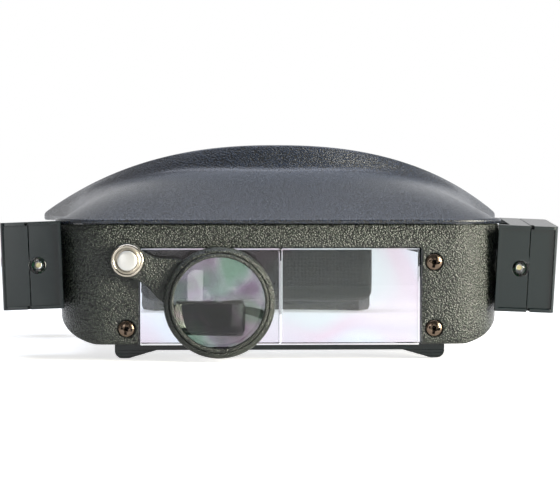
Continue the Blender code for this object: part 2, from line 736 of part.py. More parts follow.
def arm_outline():
    """The arm seen from the front, from its round end into the ring."""
    dx, dz = LOUPE_X - RIVET_X, LOUPE_HEIGHT - RIVET_HEIGHT
    length = math.hypot(dx, dz)
    ux, uz = dx / length, dz / length
    root = length - math.sqrt((LOUPE_RING - 0.5) ** 2 - ARM_ROOT**2)
    count = 7

    def edge(share, sign):
        swell = (ARM_ROOT - ARM_END) * share**2.2
        waist = 1.5 * math.sin(math.pi * min(share * 1.25, 1.0))
        return root * share, sign * (ARM_END + swell - waist)

    upper = [edge(i / count, 1) for i in range(count + 1)]
    lower = [edge(i / count, -1) for i in range(count + 1)]
    inside = [(root + 4.0, ARM_ROOT - 1.0), (root + 4.0, 1.0 - ARM_ROOT)]
    end = list(arc((0.0, 0.0), ARM_END, 90, 270, 12))
    local = list(reversed(upper[1:])) + end + lower[1:] + list(reversed(inside))
    return [(RIVET_X + ux * a - uz * b, RIVET_HEIGHT + uz * a + ux * b) for a, b in local]


def loupe_arm():
    back = -GAP - ARM_STANDOFF
    front = back - ARM_THICK
    centre = (LOUPE_X, 0.0, LOUPE_HEIGHT)
    arm = prism("loupe_arm", arm_outline(), "Y", front, back)
    rivet = (RIVET_X, 0.0, RIVET_HEIGHT)
    join(arm, disc("boss", ARM_END - 0.2, "Y", rivet, back - 0.5, -GAP))
    seat_depth = back - LENS_SEAT
    lip = LOUPE_RING - 1.7
    ring = [(LOUPE_RING, back), (LOUPE_RING, -RING_FRONT + 3.4), (LOUPE_RING - 0.6, -RING_FRONT + 1.7)]
    ring += [(lip, -RING_FRONT + 0.9), (LOUPE_SIGHT + 1.4, -RING_FRONT + 1.2)]
    ring += [(LOUPE_SIGHT + 1.0, -RING_FRONT), (LOUPE_SIGHT, -RING_FRONT)]
    ring += [(LOUPE_SIGHT, seat_depth - 0.1), (LOUPE_LENS + GAP, seat_depth), (LOUPE_LENS + GAP, back)]
    band = turned("ring", ring, "Y", centre, RING_STEPS)
    cut(arm, disc("bore", LOUPE_RING - 1.0, "Y", centre, -RING_FRONT - 5.0, 1.0, RING_STEPS))
    join(arm, band)
    cut(arm, disc("hole", RIVET_SHANK + GAP, "Y", rivet, -RING_FRONT, 1.0, SMALL_STEPS))
    return seat(arm, "loupe_pivot", "moulded")


def loupe_lens():
    """A biconvex lens between the sight lip and the retainer."""
    back_rim = -GAP - ARM_STANDOFF - 1.6
    front_rim = -GAP - ARM_STANDOFF - LENS_SEAT + GAP
    bulge = 1.7
    rings = 4
    front = [(LOUPE_SIGHT * i / rings, front_rim - bulge * (1 - (i / rings) ** 2)) for i in range(rings)]
    back = [(LOUPE_SIGHT * i / rings, back_rim + bulge * 0.7 * (1 - (i / rings) ** 2)) for i in range(rings)]
    profile = front + [(LOUPE_SIGHT - 0.2, front_rim), (LOUPE_LENS, front_rim), (LOUPE_LENS, back_rim)]
    profile += [(LOUPE_SIGHT - 0.2, back_rim)] + list(reversed(back))
    lens = turned("loupe_lens", profile, "Y", (LOUPE_X, 0.0, LOUPE_HEIGHT), RING_STEPS)
    return seat(lens, "loupe_pivot", "clear_acrylic")


def loupe_retainer():
    back = -GAP - ARM_STANDOFF
    profile = [(LOUPE_SIGHT, back - 1.3), (LOUPE_LENS, back - 1.3), (LOUPE_LENS, back), (LOUPE_SIGHT, back)]
    ring = turned("loupe_retainer", profile, "Y", (LOUPE_X, 0.0, LOUPE_HEIGHT), RING_STEPS)
    return seat(ring, "loupe_pivot", "smooth_plastic")


def rivet_parts():
    centre = (RIVET_X, 0.0, RIVET_HEIGHT)
    face = -GAP - ARM_STANDOFF - ARM_THICK - GAP
    inner = 0.7 * CUP_RADIUS
    cup = [(RIVET_SHANK + GAP, face), (CUP_RADIUS - 0.3, face), (CUP_RADIUS, face - 0.5)]
    cup += [(CUP_RADIUS - 0.3, face - 1.5), (CUP_RADIUS - 0.9, face - 1.6), (inner, face - 0.9)]
    cup += [(RIVET_SHANK + GAP, face - 0.9)]
    seat(turned("loupe_cup_washer", cup, "Y", centre, STEPS), "visor_pivot", "bright_metal")
    head = face - 0.9 - GAP
    end = WALL + GAP + CLAMP_DEPTH - GAP
    rivet = [(0.0, head - 1.7), (1.4, head - 1.6), (2.6, head - 1.2), (3.3, head - 0.5), (3.45, head)]
    rivet += [(RIVET_SHANK, head), (RIVET_SHANK, end), (0.0, end)]
    seat(turned("loupe_rivet", rivet, "Y", centre, STEPS), "visor_pivot", "bright_metal")
    low = WALL + GAP + CLAMP_DEPTH - NUT_THICK - GAP
    nut = [(RIVET_SHANK + GAP, low), (NUT_RADIUS, low), (NUT_RADIUS, low + NUT_THICK)]
    nut += [(RIVET_SHANK + GAP, low + NUT_THICK)]
    seat(turned("loupe_push_nut", nut, "Y", centre, SMALL_STEPS), "visor_pivot", "bright_metal")


# Lamps, each built in lamp measures and carried by its own pivot


def lamp_turn(side, nod):
    """The turn of a lamp's pivot. A left lamp's pieces are mirrored in their meshes."""
    return Matrix.Rotation(side * LAMP_ROLL, 4, "Y") @ Matrix.Rotation(nod, 4, "X")


def mirrored(piece, side):
    if side < 0:
        piece.data.transform(Matrix.Scale(-1.0, 4, (1, 0, 0)))
        piece.data.flip_normals()
    return piece


def lamp_case(name, side, pivot):
    shell = LAMP_SHELL
    seam = LAMP_SEAM - GAP / 2
    low = (GAP / 2, -LAMP_REACH, -LAMP_TALL)
    case = block(name + "_case", low, (seam, LAMP_REACH, LAMP_TALL))
    flange = (LAMP_FLANGE, -LAMP_REACH, -LAMP_TALL)
    join(case, block("flange", flange, (2.0, -LAMP_REACH + LAMP_TRAY + 0.3, LAMP_TALL)))
    tray = (LAMP_FLANGE + LAMP_RIM, -LAMP_REACH - 1.0, -LAMP_TALL + LAMP_RIM)
    cut(case, block("tray", tray, (seam + 1.0, -LAMP_REACH + LAMP_TRAY - 0.3, LAMP_TALL - LAMP_RIM)))
    hollow = (GAP / 2 + shell, -LAMP_REACH + 2 * LAMP_TRAY, -LAMP_TALL + shell)
    cut(case, block("hollow", hollow, (seam + 1.0, LAMP_REACH - shell, LAMP_TALL - shell)))
    join(case, disc("boss", 3.2, "X", (0, 0, 0), GAP / 2 + 1.0, BOARD_START - GAP, SMALL_STEPS))
    cut(case, disc("hole", LAMP_SCREW + GAP, "X", (0, 0, 0), -1.0, BOARD_START + 1.0, SMALL_STEPS))
    led = (LED_ACROSS, 0.0, 0.0)
    cut(case, disc("hole", LED_RADIUS + 0.5, "Y", led, -LAMP_REACH - 1.0, -LAMP_REACH + 4.0, STEPS))
    slot = (SWITCH_ACROSS - 1.6, LAMP_REACH - shell - 1.0, -4.1)
    cut(case, block("slot", slot, (SWITCH_ACROSS + 1.6, LAMP_REACH + 1.0, 4.1)))
    return seat(mirrored(case, side), pivot, "smooth_plastic", local=True)


def lamp_lid(name, side, pivot):
    seam = LAMP_SEAM + GAP / 2
    shell = LAMP_SHELL
    edge = LAMP_EDGE
    outline = [(seam, -LAMP_REACH)]
    outline += arc((LAMP_OUTER - edge, -LAMP_REACH + edge), edge, -90, 0, 4)
    outline += arc((LAMP_OUTER - edge, LAMP_REACH - edge), edge, 0, 90, 4)
    outline += [(seam, LAMP_REACH)]
    lid = prism(name + "_lid", outline, "Z", -LAMP_TALL, LAMP_TALL)
    tray = (seam - 1.0, -LAMP_REACH - 1.0, -LAMP_TALL + LAMP_RIM)
    tray_end = (LAMP_OUTER - LAMP_RIM, -LAMP_REACH + LAMP_TRAY - 0.3, LAMP_TALL - LAMP_RIM)
    cut(lid, block("tray", tray, tray_end))
    hollow = (seam - 1.0, -LAMP_REACH + 2 * LAMP_TRAY, -LAMP_TALL + shell)
    cut(lid, block("hollow", hollow, (LAMP_OUTER - shell, LAMP_REACH - shell, LAMP_TALL - shell)))
    return seat(mirrored(lid, side), pivot, "smooth_plastic", local=True)


def lamp_led(name, side, pivot):
    tip = -LAMP_REACH + 0.2
    board = -LAMP_REACH + 6.5
    profile = [(0.0, tip)]
    for i in (1, 2, 3):
        angle = math.radians(30 * i)
        profile.append((LED_RADIUS * math.sin(angle), tip + LED_RADIUS * (1 - math.cos(angle))))
    profile += [(LED_RADIUS, board - 1.6), (LED_RADIUS + 0.2, board - 1.6)]
    profile += [(LED_RADIUS + 0.2, board - GAP), (0.0, board - GAP)]
    led = turned(name + "_led", profile, "Y", (LED_ACROSS, 0.0, 0.0), STEPS)
    return seat(mirrored(led, side), pivot, "led", local=True)


def lamp_board(name, side, pivot):
    low = (BOARD_START, -LAMP_REACH + 6.5, -LAMP_TALL + LAMP_SHELL + GAP)
    high = (BOARD_START + BOARD_THICK, LAMP_REACH - LAMP_SHELL - 2.0, LAMP_TALL - LAMP_SHELL - GAP)
    board = block(name + "_board", low, high)
    return seat(mirrored(board, side), pivot, "circuit", local=True)


def lamp_cells(name, side, pivot):
    for number in range(2):
        start = CELL_START + number * (CELL_THICK + GAP)
        centre = (0.0, CELL_BACK, 0.0)
        edge = 0.4
        profile = [(0.0, start), (CELL_RADIUS - 2 * edge, start), (CELL_RADIUS - 2 * edge, start + edge)]
        profile += [(CELL_RADIUS, start + 2 * edge), (CELL_RADIUS, start + CELL_THICK)]
        profile += [(0.0, start + CELL_THICK)]
        cell = turned(f"{name}_cell_{number + 1}", profile, "X", centre, STEPS)
        seat(mirrored(cell, side), pivot, "bright_metal", local=True)


def lamp_clip(name, side, pivot):
    """A bent spring strip that stands on the board and holds both cells."""
    foot = BOARD_START + BOARD_THICK + GAP
    plate = CELL_START - GAP - 0.7
    wrap = CELL_BACK + CELL_RADIUS + GAP
    end = CELL_START + 2 * CELL_THICK + 2 * GAP
    half = 3.6
    outline = [(plate, -6.0), (plate + 0.7, -6.0), (plate + 0.7, wrap), (end, wrap), (end, wrap - 4.5)]
    outline += [(end + 0.6, wrap - 4.5), (end + 0.6, wrap + 0.6), (plate, wrap + 0.6)]
    outline += [(plate, 3.6), (foot, 3.6), (foot, 2.4), (plate, 2.4)]
    outline += [(plate, -3.4), (foot, -3.4), (foot, -4.6), (plate, -4.6)]
    clip = prism(name + "_cell_clip", outline, "Z", -half, half)
    return seat(mirrored(clip, side), pivot, "bright_metal", local=True)


def lamp_switch(name, side, pivot):
    """The slider stands at its off end, low in the slot."""
    middle = -SWITCH_TRAVEL / 2
    inside = LAMP_REACH - LAMP_SHELL - GAP
    low = (SWITCH_ACROSS - 2.0, inside - 1.0, middle - 4.2)
    slider = block(name + "_switch", low, (SWITCH_ACROSS + 2.0, inside, middle + 4.2))
    button = (SWITCH_ACROSS - 1.3, inside - 0.5, middle - 2.2)
    join(slider, block("button", button, (SWITCH_ACROSS + 1.3, LAMP_REACH + 1.2, middle + 2.2)))
    return seat(mirrored(slider, side), pivot, "rubber", local=True)


def lamp_fixings(side_name, side, pivot):
    """The friction washer and the screw that the lamp turns on stay with the visor."""
    back = -GAP / 2
    front = back - LAMP_WASHER
    inner = LAMP_SCREW + GAP
    washer = [(inner, back), (LAMP_BOSS - 0.5, back), (LAMP_BOSS - 0.5, front), (inner, front)]
    ring = turned("lamp_washer_" + side_name, washer, "X", (0, 0, 0), STEPS)
    head = LAMP_BOSS_START - GAP
    end = BOARD_START - 2 * GAP
    profile = [(0.0, head - 1.8), (2.2, head - 1.5), (2.9, head - 0.6), (2.9, head)]
    profile += [(LAMP_SCREW, head), (LAMP_SCREW, end), (0.0, end)]
    screw = turned("lamp_screw_" + side_name, profile, "X", (0, 0, 0), SMALL_STEPS)
    seat(at_lamp(ring, side), pivot, "rubber")
    seat(at_lamp(screw, side), pivot, "dark_metal")


def lamp(side_name):
    side = -1 if side_name == "left" else 1
    name = "lamp_" + side_name
    point = (side * LAMP_HALF, LAMP_DEPTH, LAMP_HEIGHT)
    turn = lamp_turn(side, LAMP_NOD[side_name])
    pivot = add_pivot(name + "_pivot", point, "visor_pivot", turn)
    lamp_case(name, side, pivot)
    lamp_led(name, side, pivot)
    lamp_board(name, side, pivot)
    lamp_cells(name, side, pivot)
    lamp_clip(name, side, pivot)
    lid_pivot = add_pivot(name + "_lid_slide", point, pivot, turn)
    lamp_lid(name, side, lid_pivot)
    switch_pivot = add_pivot(name + "_switch_slide", point, pivot, turn)
    lamp_switch(name, side, switch_pivot)
    lamp_fixings(side_name, side, "visor_pivot")


# Headband


def head_point(turn, offset):
    """Plan of the head's oval grown by offset. A turn of -90 degrees is the middle of the brow."""
    cosine, sine = math.cos(turn), math.sin(turn)
    power = 2.0 / HEAD_POWER
    across = math.copysign(abs(cosine) ** power, cosine) * (HEAD_HALF + offset)
    depth = math.copysign(abs(sine) ** power, sine) * (HEAD_LONG + offset)
    return across, HEAD_CENTRE + depth


def band_height(turn):
    depth = head_point(turn, 0.0)[1]
    return BROW_HEIGHT - (depth - HEAD_CENTRE + HEAD_LONG) * math.tan(HEAD_FALL)


def head_section(turn, corners, middle):
    """A section across a band: corners are (offset, rise) from the oval and from the middle."""
    ring = []
    for offset, rise in corners:
        across, depth = head_point(turn, offset)
        ring.append((across, depth, middle + rise))
    return ring


def rounded(outer, inner, half, edge):
    """Corners of a band's section with its edges taken off."""
    return [
        (outer, -half + edge), (outer, half - edge), (outer - edge, half), (inner + edge, half),
        (inner, half - edge), (inner, -half + edge), (inner + edge, -half), (outer - edge, -half),
    ]


def turn_at(share, end):
    """Turns from the brow's middle (share 0) to an end, closer together where the oval bends."""
    return math.radians(-90 + (end + 90) * share)


def band_half(share):
    ease = min(max((share - 0.25) / 0.75, 0.0), 1.0)
    return BROW_HALF + (ARM_HALF - BROW_HALF) * ease * ease * (3 - 2 * ease)


def brow_band():
    stations = 14
    right = []
    for i in range(stations + 1):
        share = i / stations
        turn = turn_at(share, BAND_END)
        corners = rounded(0.0, -BAND_THICK, band_half(share), 0.7)
        right.append(head_section(turn, corners, band_height(turn)))
    left = [[(-x, d, z) for x, d, z in ring] for ring in reversed(right[1:])]
    band = loft("brow_band", left + right)
    temple = (0.0, TEMPLE_DEPTH, TEMPLE_HEIGHT)
    step = LUG_INNER + LUG_THICK
    lug = [(TEMPLE_BORE, LUG_INNER), (TEMPLE_RADIUS - 1.0, LUG_INNER), (TEMPLE_RADIUS - 1.0, step)]
    lug += [(BOSS_RADIUS, step), (BOSS_RADIUS, BOSS_END), (TEMPLE_BORE, BOSS_END)]
    for side in (-1, 1):
        ends = sorted((side * (LUG_INNER - 8.0), side * (BOSS_END + 1.0)))
        cut(band, disc("hole", 2 * TEMPLE_BORE, "X", temple, *ends, STEPS))
        profile = [(radius, side * along) for radius, along in lug]
        join(band, turned("lug", profile, "X", temple, STEPS))
        strap_hole(band, side, -BAND_THICK - 1.0, 1.0)
    return seat(band, "headband", "moulded")


def strap_hole(piece, side, inner, outer):
    turn = math.radians(STRAP_RIVET_TURN)
    across, depth = head_point(turn, 0.0)
    ends = sorted((side * (across + inner), side * (across + outer)))
    centre = (0.0, depth, band_height(turn))
    cut(piece, disc("hole", STRAP_RIVET + GAP, "X", centre, *ends, SMALL_STEPS))


def strap(name, side):
    """A strap from the side arm to the cradle. The right one runs high, the left one low."""
    toothed = CRADLE_MIDDLE + side * STRAP_SPREAD
    rings = []
    stations = 10
    last = math.acos((RACK_START / (HEAD_HALF + STRAP_OUT)) ** (HEAD_POWER / 2))
    for i in range(stations):
        turn = last * i / stations
        ease = min(max((i / stations - 0.3) / 0.7, 0.0), 1.0)
        ease = ease * ease * (3 - 2 * ease)
        middle = band_height(turn) + (toothed - band_height(turn)) * ease
        half = STRAP_FRONT_HALF + (STRAP_HALF - STRAP_FRONT_HALF) * ease
        corners = strap_corners(half, half)
        rings.append([(side * x, d, z) for x, d, z in head_section(turn, corners, middle)])
    phase = 0.5 if side > 0 else 0.0
    first = math.floor(RACK_START / RACK_PITCH) + phase
    for k in range(RACK_TEETH):
        tooth = (first - k) * RACK_PITCH
        for offset, reach in ((0.31, 0.0), (0.18, TOOTH), (-0.18, TOOTH), (-0.31, 0.0)):
            across = tooth + offset * RACK_PITCH
            edge = STRAP_HALF - TOOTH + reach
            corners = strap_corners(edge, STRAP_HALF) if side > 0 else strap_corners(STRAP_HALF, edge)
            rings.append(level_section(side * across, corners, toothed))
    piece = loft(name, rings)
    strap_hole(piece, side, STRAP_IN - 1.0, STRAP_OUT + 1.0)
    return seat(piece, "headband", "strap_plastic")


def strap_corners(down, up):
    return [(STRAP_OUT, -down), (STRAP_OUT, up), (STRAP_IN, up), (STRAP_IN, -down)]


def strap_rivet(name, side):
    turn = math.radians(STRAP_RIVET_TURN)
    across, depth = head_point(turn, 0.0)
    outer = across + GAP
    inner = across + STRAP_IN - GAP
    profile = [(0.0, inner - 0.8), (2.4, inner - 0.5), (2.4, inner), (STRAP_RIVET, inner)]
    profile += [(STRAP_RIVET, outer), (2.4, outer), (2.4, outer + 0.5), (0.0, outer + 0.9)]
    profile = [(radius, side * along) for radius, along in profile]
    rivet = turned(name, profile, "X", (0.0, depth, band_height(turn)), SMALL_STEPS)
    return seat(rivet, "headband", "bright_metal")


def crowned(inner_face, thick, half, full):
    """Corners of a pad's section: flat against its carrier, crowned towards the head."""
    corners = []
    count = 9
    for i in range(count):
        angle = math.pi * i / (count - 1)
        swell = math.sin(angle) ** 0.6
        rise = half * math.copysign(abs(math.cos(angle)) ** 0.55, math.cos(angle))
        corners.append((inner_face - 1.0 * full - (thick - 1.0) * swell * full, -rise))
    return [(inner_face, half * 0.96)] + [(inner_face, -half * 0.96)] + corners


def pad(name, turns, inner_face, thick, half, height_at, pivot):
    """A foam pad that follows the head, thinner and lower towards its drawn-in ends."""
    rings = []
    count = len(turns) - 1
    for i, turn in enumerate(turns):
        away = abs(2.0 * i / count - 1.0)
        full = max(1.0 - away**6, 0.0) ** 0.5 * 0.75 + 0.25
        tall = half * (0.82 + 0.18 * max(1.0 - away**5, 0.0) ** 0.5)
        rings.append(head_section(turn, crowned(inner_face, thick, tall, full), height_at(turn)))
    return seat(loft(name, rings), pivot, "foam")


def brow_pad():
    span = 50.0
    turns = [math.radians(-90 - span + 2 * span * i / 26) for i in range(27)]
    face = -BAND_THICK - GAP
    return pad("brow_pad", turns, face, PAD_THICK, BROW_HALF + 0.5, band_height, "headband")


def temple_parts():
    for side, name in ((-1, "left"), (1, "right")):
        centre = (0.0, TEMPLE_DEPTH, TEMPLE_HEIGHT)
        head = LUG_INNER - GAP
        bolt = TEMPLE_BORE - GAP
        end = CHEEK_HALF + BOLT_REACH
        profile = [(0.0, head - 2.0), (BOLT_HEAD - 0.8, head - 1.6), (BOLT_HEAD, head - 0.8)]
        profile += [(BOLT_HEAD, head), (bolt, head)]
        profile += [(bolt, end - 0.6), (bolt - 0.6, end), (0.0, end)]
        profile = [(radius, side * along) for radius, along in profile]
        piece = turned("temple_bolt_" + name, profile, "X", centre, SMALL_STEPS)
        seat(piece, "headband", "dark_metal")
        low = BOSS_END + GAP
        top, edge = low + TEMPLE_WASHER, BOSS_RADIUS - 0.5
        ring = [(TEMPLE_BORE, low), (edge, low), (edge, top), (TEMPLE_BORE, top)]
        ring = [(radius, side * along) for radius, along in ring]
        piece = turned("temple_washer_" + name, ring, "X", centre, STEPS)
        seat(piece, "headband", "rubber")
        temple_knob("temple_knob_" + name, side, centre)


def fluted(name, axis, centre, side, levels, flutes):
    """A knob through rings of (radius, along, flute depth), with rounded flutes between its lobes."""
    sides = 4 * flutes
    rings = []
    for radius, along, depth in levels:
        ring = []
        for k in range(sides):
            angle = math.tau * k / sides
            reach = radius - depth * (0.5 - 0.5 * math.cos(flutes * angle))
            point = place(axis, reach * math.cos(angle), reach * math.sin(angle), side * along)
            ring.append(tuple(c + p for c, p in zip(centre, point)))
        rings.append(ring)
    return loft(name, rings)


def temple_knob(name, side, centre):
    """A fluted clamp knob with a domed end, blind on the bolt."""
    base = CHEEK_HALF + GAP
    end = CHEEK_HALF + KNOB_REACH
    collar = KNOB_RADIUS - 2.0
    levels = [(collar, base, 0.0), (collar, base + 2.0, 0.0), (KNOB_RADIUS, base + 2.6, 0.0)]
    levels += [(KNOB_RADIUS, base + 4.0, 0.0), (KNOB_RADIUS, base + 4.6, FLUTE)]
    levels += [(KNOB_RADIUS, end - 1.5, FLUTE)]
    levels += [(KNOB_RADIUS - 1.5, end, 0.6 * FLUTE), (6.5, end + 0.4, 0.0)]
    levels += [(5.0, end + 0.6 * KNOB_DOME, 0.0), (2.6, end + KNOB_DOME, 0.0)]
    knob = fluted(name, "X", centre, side, levels, TEMPLE_FLUTES)
    bore = sorted((side * (base - 1.0), side * (CHEEK_HALF + BOLT_REACH + GAP)))
    cut(knob, disc("bore", TEMPLE_BORE, "X", centre, *bore, SMALL_STEPS))
    pivot = add_pivot(name + "_turn", (side * base, centre[1], centre[2]), "headband")
    return seat(knob, pivot, "smooth_plastic")


# Rear cradle


def level_section(across, corners, middle):
    """A section across the back of the oval at a distance from the middle of the head."""
    share = (abs(across) / HEAD_HALF) ** HEAD_POWER
    ring = []
    for offset, rise in corners:
        depth = (1.0 - share) ** (1.0 / HEAD_POWER) * (HEAD_LONG + offset)
        ring.append((across * (HEAD_HALF + offset) / HEAD_HALF, HEAD_CENTRE + depth, middle + rise))
    return ring


def cradle_loft(name, corners, half, stations=10):
    """A piece along the back of the oval, level, as wide as twice half."""
    places = [-half + 2 * half * i / stations for i in range(stations + 1)]
    return loft(name, [level_section(across, corners, CRADLE_MIDDLE) for across in places])


def square(inner, outer, low, high):
    return [(inner, low), (outer, low), (outer, high), (inner, high)]


def rear_housing():
    tall = CRADLE_MIDDLE
    edge = 1.2
    corners = [(CRADLE_INNER, -tall), (CRADLE_OUTER - edge, -tall), (CRADLE_OUTER, edge - tall)]
    corners += [(CRADLE_OUTER, tall - edge), (CRADLE_OUTER - edge, tall), (CRADLE_INNER, tall)]
    housing = cradle_loft("rear_housing", corners, CRADLE_HALF)
    hub = (0.0, HEAD_CENTRE + HEAD_LONG, CRADLE_MIDDLE)
    join(housing, disc("hub", CRADLE_HUB, "Y", hub, 0.0, HUB_FACE, STEPS))
    room = tall - CRADLE_WALL
    cavity = square(CRADLE_INNER - 4.0, CAVITY_OUT, -room, room)
    cut(housing, cradle_loft("cavity", cavity, CRADLE_HALF - CRADLE_WALL))
    for side in (-1, 1):
        middle = side * STRAP_SPREAD
        gap = STRAP_HALF + GAP
        section = square(COVER_OUT, CAVITY_OUT, middle - gap, middle + gap)
        slot = cradle_loft("slot", section, CRADLE_HALF + 3.0)
        far = sorted((0.0, -2 * side * CRADLE_HALF))
        away = block("half", (far[0], HEAD_CENTRE, -tall), (far[1], BACK_REACH, 3 * tall))
        cut(housing, cut(slot, away))
    cut(housing, disc("hole", SHAFT + GAP, "Y", hub, -8.0, HUB_FACE + 2.0, STEPS))
    return seat(housing, "cradle_slide", "moulded")


def rear_cover():
    room = CRADLE_MIDDLE - CRADLE_WALL - GAP
    section = square(CRADLE_INNER, COVER_OUT, -room, room)
    cover = cradle_loft("rear_cover", section, CRADLE_HALF - CRADLE_WALL - GAP)
    hub = (0.0, HEAD_CENTRE + HEAD_LONG, CRADLE_MIDDLE)
    cut(cover, disc("hole", 4.0, "Y", hub, -12.0, 0.0, STEPS))
    return seat(cover, "cradle_slide", "smooth_plastic")


def rear_pad():
    share = (CRADLE_HALF + REAR_PAD_REACH) / HEAD_HALF
    end = math.acos(share ** (HEAD_POWER / 2))
    turns = [end + (math.pi - 2 * end) * i / 16 for i in range(17)]
    face = CRADLE_INNER - GAP

    def level(turn):
        return CRADLE_MIDDLE

    return pad("rear_pad", turns, face, PAD_THICK, CRADLE_MIDDLE - 2.5, level, "cradle_slide")


def rear_knob():
    centre = (0.0, HEAD_CENTRE + HEAD_LONG, CRADLE_MIDDLE)
    base = HUB_FACE + GAP
    end = REAR_KNOB_REACH
    collar = CRADLE_HUB + 1.5
    levels = [(collar, base, 0.0), (collar, base + 1.4, 0.0), (REAR_KNOB, base + 2.4, FLUTE)]
    levels += [(REAR_KNOB, end - 1.6, FLUTE), (REAR_KNOB - 1.6, end, 0.7 * FLUTE)]
    levels += [(REAR_KNOB / 2, end, 0.0), (REAR_KNOB / 2 - 1.0, end - 1.2, 0.0)]
    knob = fluted("rear_knob", "Y", centre, 1, levels, REAR_FLUTES)
    cut(knob, disc("bore", SHAFT + GAP, "Y", centre, base - 1.0, base + 3.0 + GAP, STEPS))
    cut(knob, disc("pilot", KNOB_SCREW + GAP, "Y", centre, base + 1.0, base + 8.0, SMALL_STEPS))
    return seat(knob, "rear_knob_turn", "smooth_plastic")


def rear_pinion():
    """A toothed wheel between the two racks, on the knob's shaft."""
    centre = (0.0, HEAD_CENTRE + HEAD_LONG, CRADLE_MIDDLE)
    tip = PINION_PITCH - PITCH_DROP + TOOTH - GAP
    root = PINION_PITCH - PITCH_DROP - GAP
    outline = []
    for k in range(PINION_TEETH):
        for phase, radius in ((-0.29, root), (-0.12, tip), (0.12, tip), (0.29, root)):
            angle = math.tau * (0.25 + (k + phase) / PINION_TEETH)
            outline.append((radius * math.cos(angle), centre[2] + radius * math.sin(angle)))
    pinion = prism("rear_pinion", outline, "Y", centre[1] + STRAP_IN + 0.1, centre[1] + STRAP_OUT)
    shaft_end = HUB_FACE + GAP + 3.0
    join(pinion, disc("shaft", SHAFT, "Y", centre, STRAP_OUT - 0.5, shaft_end, STEPS))
    cut(pinion, disc("bore", KNOB_SCREW + GAP, "Y", centre, STRAP_IN - 2.0, shaft_end + 2.0, SMALL_STEPS))
    return seat(pinion, "rear_knob_turn", "strap_plastic")


def knob_screw():
    centre = (0.0, HEAD_CENTRE + HEAD_LONG, CRADLE_MIDDLE)
    head_back = STRAP_IN + 0.1 - GAP
    tip = HUB_FACE + GAP + 7.5
    screw = pan_head_screw("knob_screw", centre, 2.4, KNOB_SCREW, head_back, tip)
    return seat(screw, "rear_knob_turn", "dark_metal")


def build():
    clear_scene()
    add_pivot("headband", (0.0, HEAD_CENTRE, BROW_HEIGHT))
    add_pivot("visor_pivot", (0.0, TEMPLE_DEPTH, TEMPLE_HEIGHT), "headband")
    add_pivot("flip_pivot", (0.0, FLIP_HINGE_DEPTH, FLIP_HINGE_HEIGHT), "visor_pivot")
    add_pivot("loupe_pivot", (RIVET_X, 0.0, RIVET_HEIGHT), "visor_pivot")
    add_pivot("cradle_slide", (0.0, HEAD_CENTRE + HEAD_LONG, CRADLE_MIDDLE), "headband")
    add_pivot("rear_knob_turn", (0.0, HEAD_CENTRE + HEAD_LONG, CRADLE_MIDDLE), "cradle_slide")
    front_frame()
    hood_shell()
    main_lens()
    lens_clamp()
    frame_screws()
    rivet_parts()
    flip_frame()
    flip_lens()
    flip_pins()
    loupe_arm()
    loupe_lens()
    loupe_retainer()
    lamp("left")
    lamp("right")
    brow_band()
    brow_pad()
    for side, name in ((-1, "left"), (1, "right")):
        strap("strap_" + name, side)
        strap_rivet("strap_rivet_" + name, side)
    temple_parts()
    rear_housing()
    rear_cover()
    rear_pad()
    rear_knob()
    rear_pinion()
    knob_screw()


build()
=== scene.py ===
"""Head visor magnifier: the finishes, the smoother forms, the floor, the lights and the camera.

Lengths are in millimetres, measured as in the part: across from the middle (+X to the right seen from the
front), depth back from the visor's front face, and height above the table. MM turns them to metres.
"""

import math

import bpy
from mathutils import Matrix, Vector


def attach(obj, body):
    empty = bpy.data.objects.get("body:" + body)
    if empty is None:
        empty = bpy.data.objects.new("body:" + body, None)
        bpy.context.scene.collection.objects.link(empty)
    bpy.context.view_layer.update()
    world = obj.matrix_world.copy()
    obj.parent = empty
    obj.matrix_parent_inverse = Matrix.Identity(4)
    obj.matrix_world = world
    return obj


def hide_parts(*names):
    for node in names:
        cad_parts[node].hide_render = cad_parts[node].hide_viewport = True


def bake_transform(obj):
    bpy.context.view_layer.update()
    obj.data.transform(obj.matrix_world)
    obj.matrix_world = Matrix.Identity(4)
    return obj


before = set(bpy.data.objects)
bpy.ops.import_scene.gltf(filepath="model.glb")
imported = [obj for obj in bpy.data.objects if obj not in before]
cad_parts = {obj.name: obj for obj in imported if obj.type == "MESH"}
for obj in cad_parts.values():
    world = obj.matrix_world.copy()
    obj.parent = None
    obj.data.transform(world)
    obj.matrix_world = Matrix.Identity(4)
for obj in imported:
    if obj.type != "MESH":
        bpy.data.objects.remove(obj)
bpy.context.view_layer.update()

MM = 0.001
FACE_Y = -132.9  # where depth 0 lies along Y
SIDES = (("left", -1), ("right", 1))

# Visor wall, as in the part
FACE_FLAT = 60.0
CORNER = 20.0
WALL = 2.2
FACE_TOP = 47.7
FACE_BOTTOM = 5.5
DRAFT = math.radians(2.2)
EDGE_ROUND = 0.6
WINDOW_HALF = 50.1
WINDOW_TOP = 39.8
FLARE_START = 45.0
FLARE_POWER = 2.6  # how late the cheeks and the hood's tips swing out
CHEEK_HALF = 87.0
CHEEK_BOTTOM = 20.0
TEMPLE = (120.0, 31.0)  # depth and height
TEMPLE_RADIUS = 15.0
CLIMB_START, CLIMB_RUN = 1.0, 27.5  # where the wall's bottom edge climbs to the cheeks' bottom
CHEEK_FALL = 0.37  # how steeply the cheeks' top edge falls past the temple
SCREW_SPOTS = {"left_low": (-54.4, 11.1), "right_low": (54.4, 11.1), "right_high": (54.4, 34.6)}
RIVET = (-53.8, 35.3)
RIVET_BORE = 1.8
RING = (-21.7, 20.5)
RING_BORE = 18.4  # what the ring's own profile fills again
GLASS_RADIUS = 16.0
GLASS_RIM = 17.1
ARM_HALF = 6.2
ARM_SWELL, ARM_WAIST = 2.3, 1.5  # wider at the ring, narrower half way
LENS_PEAK = 11.5  # height of the middle of the lenses' domes

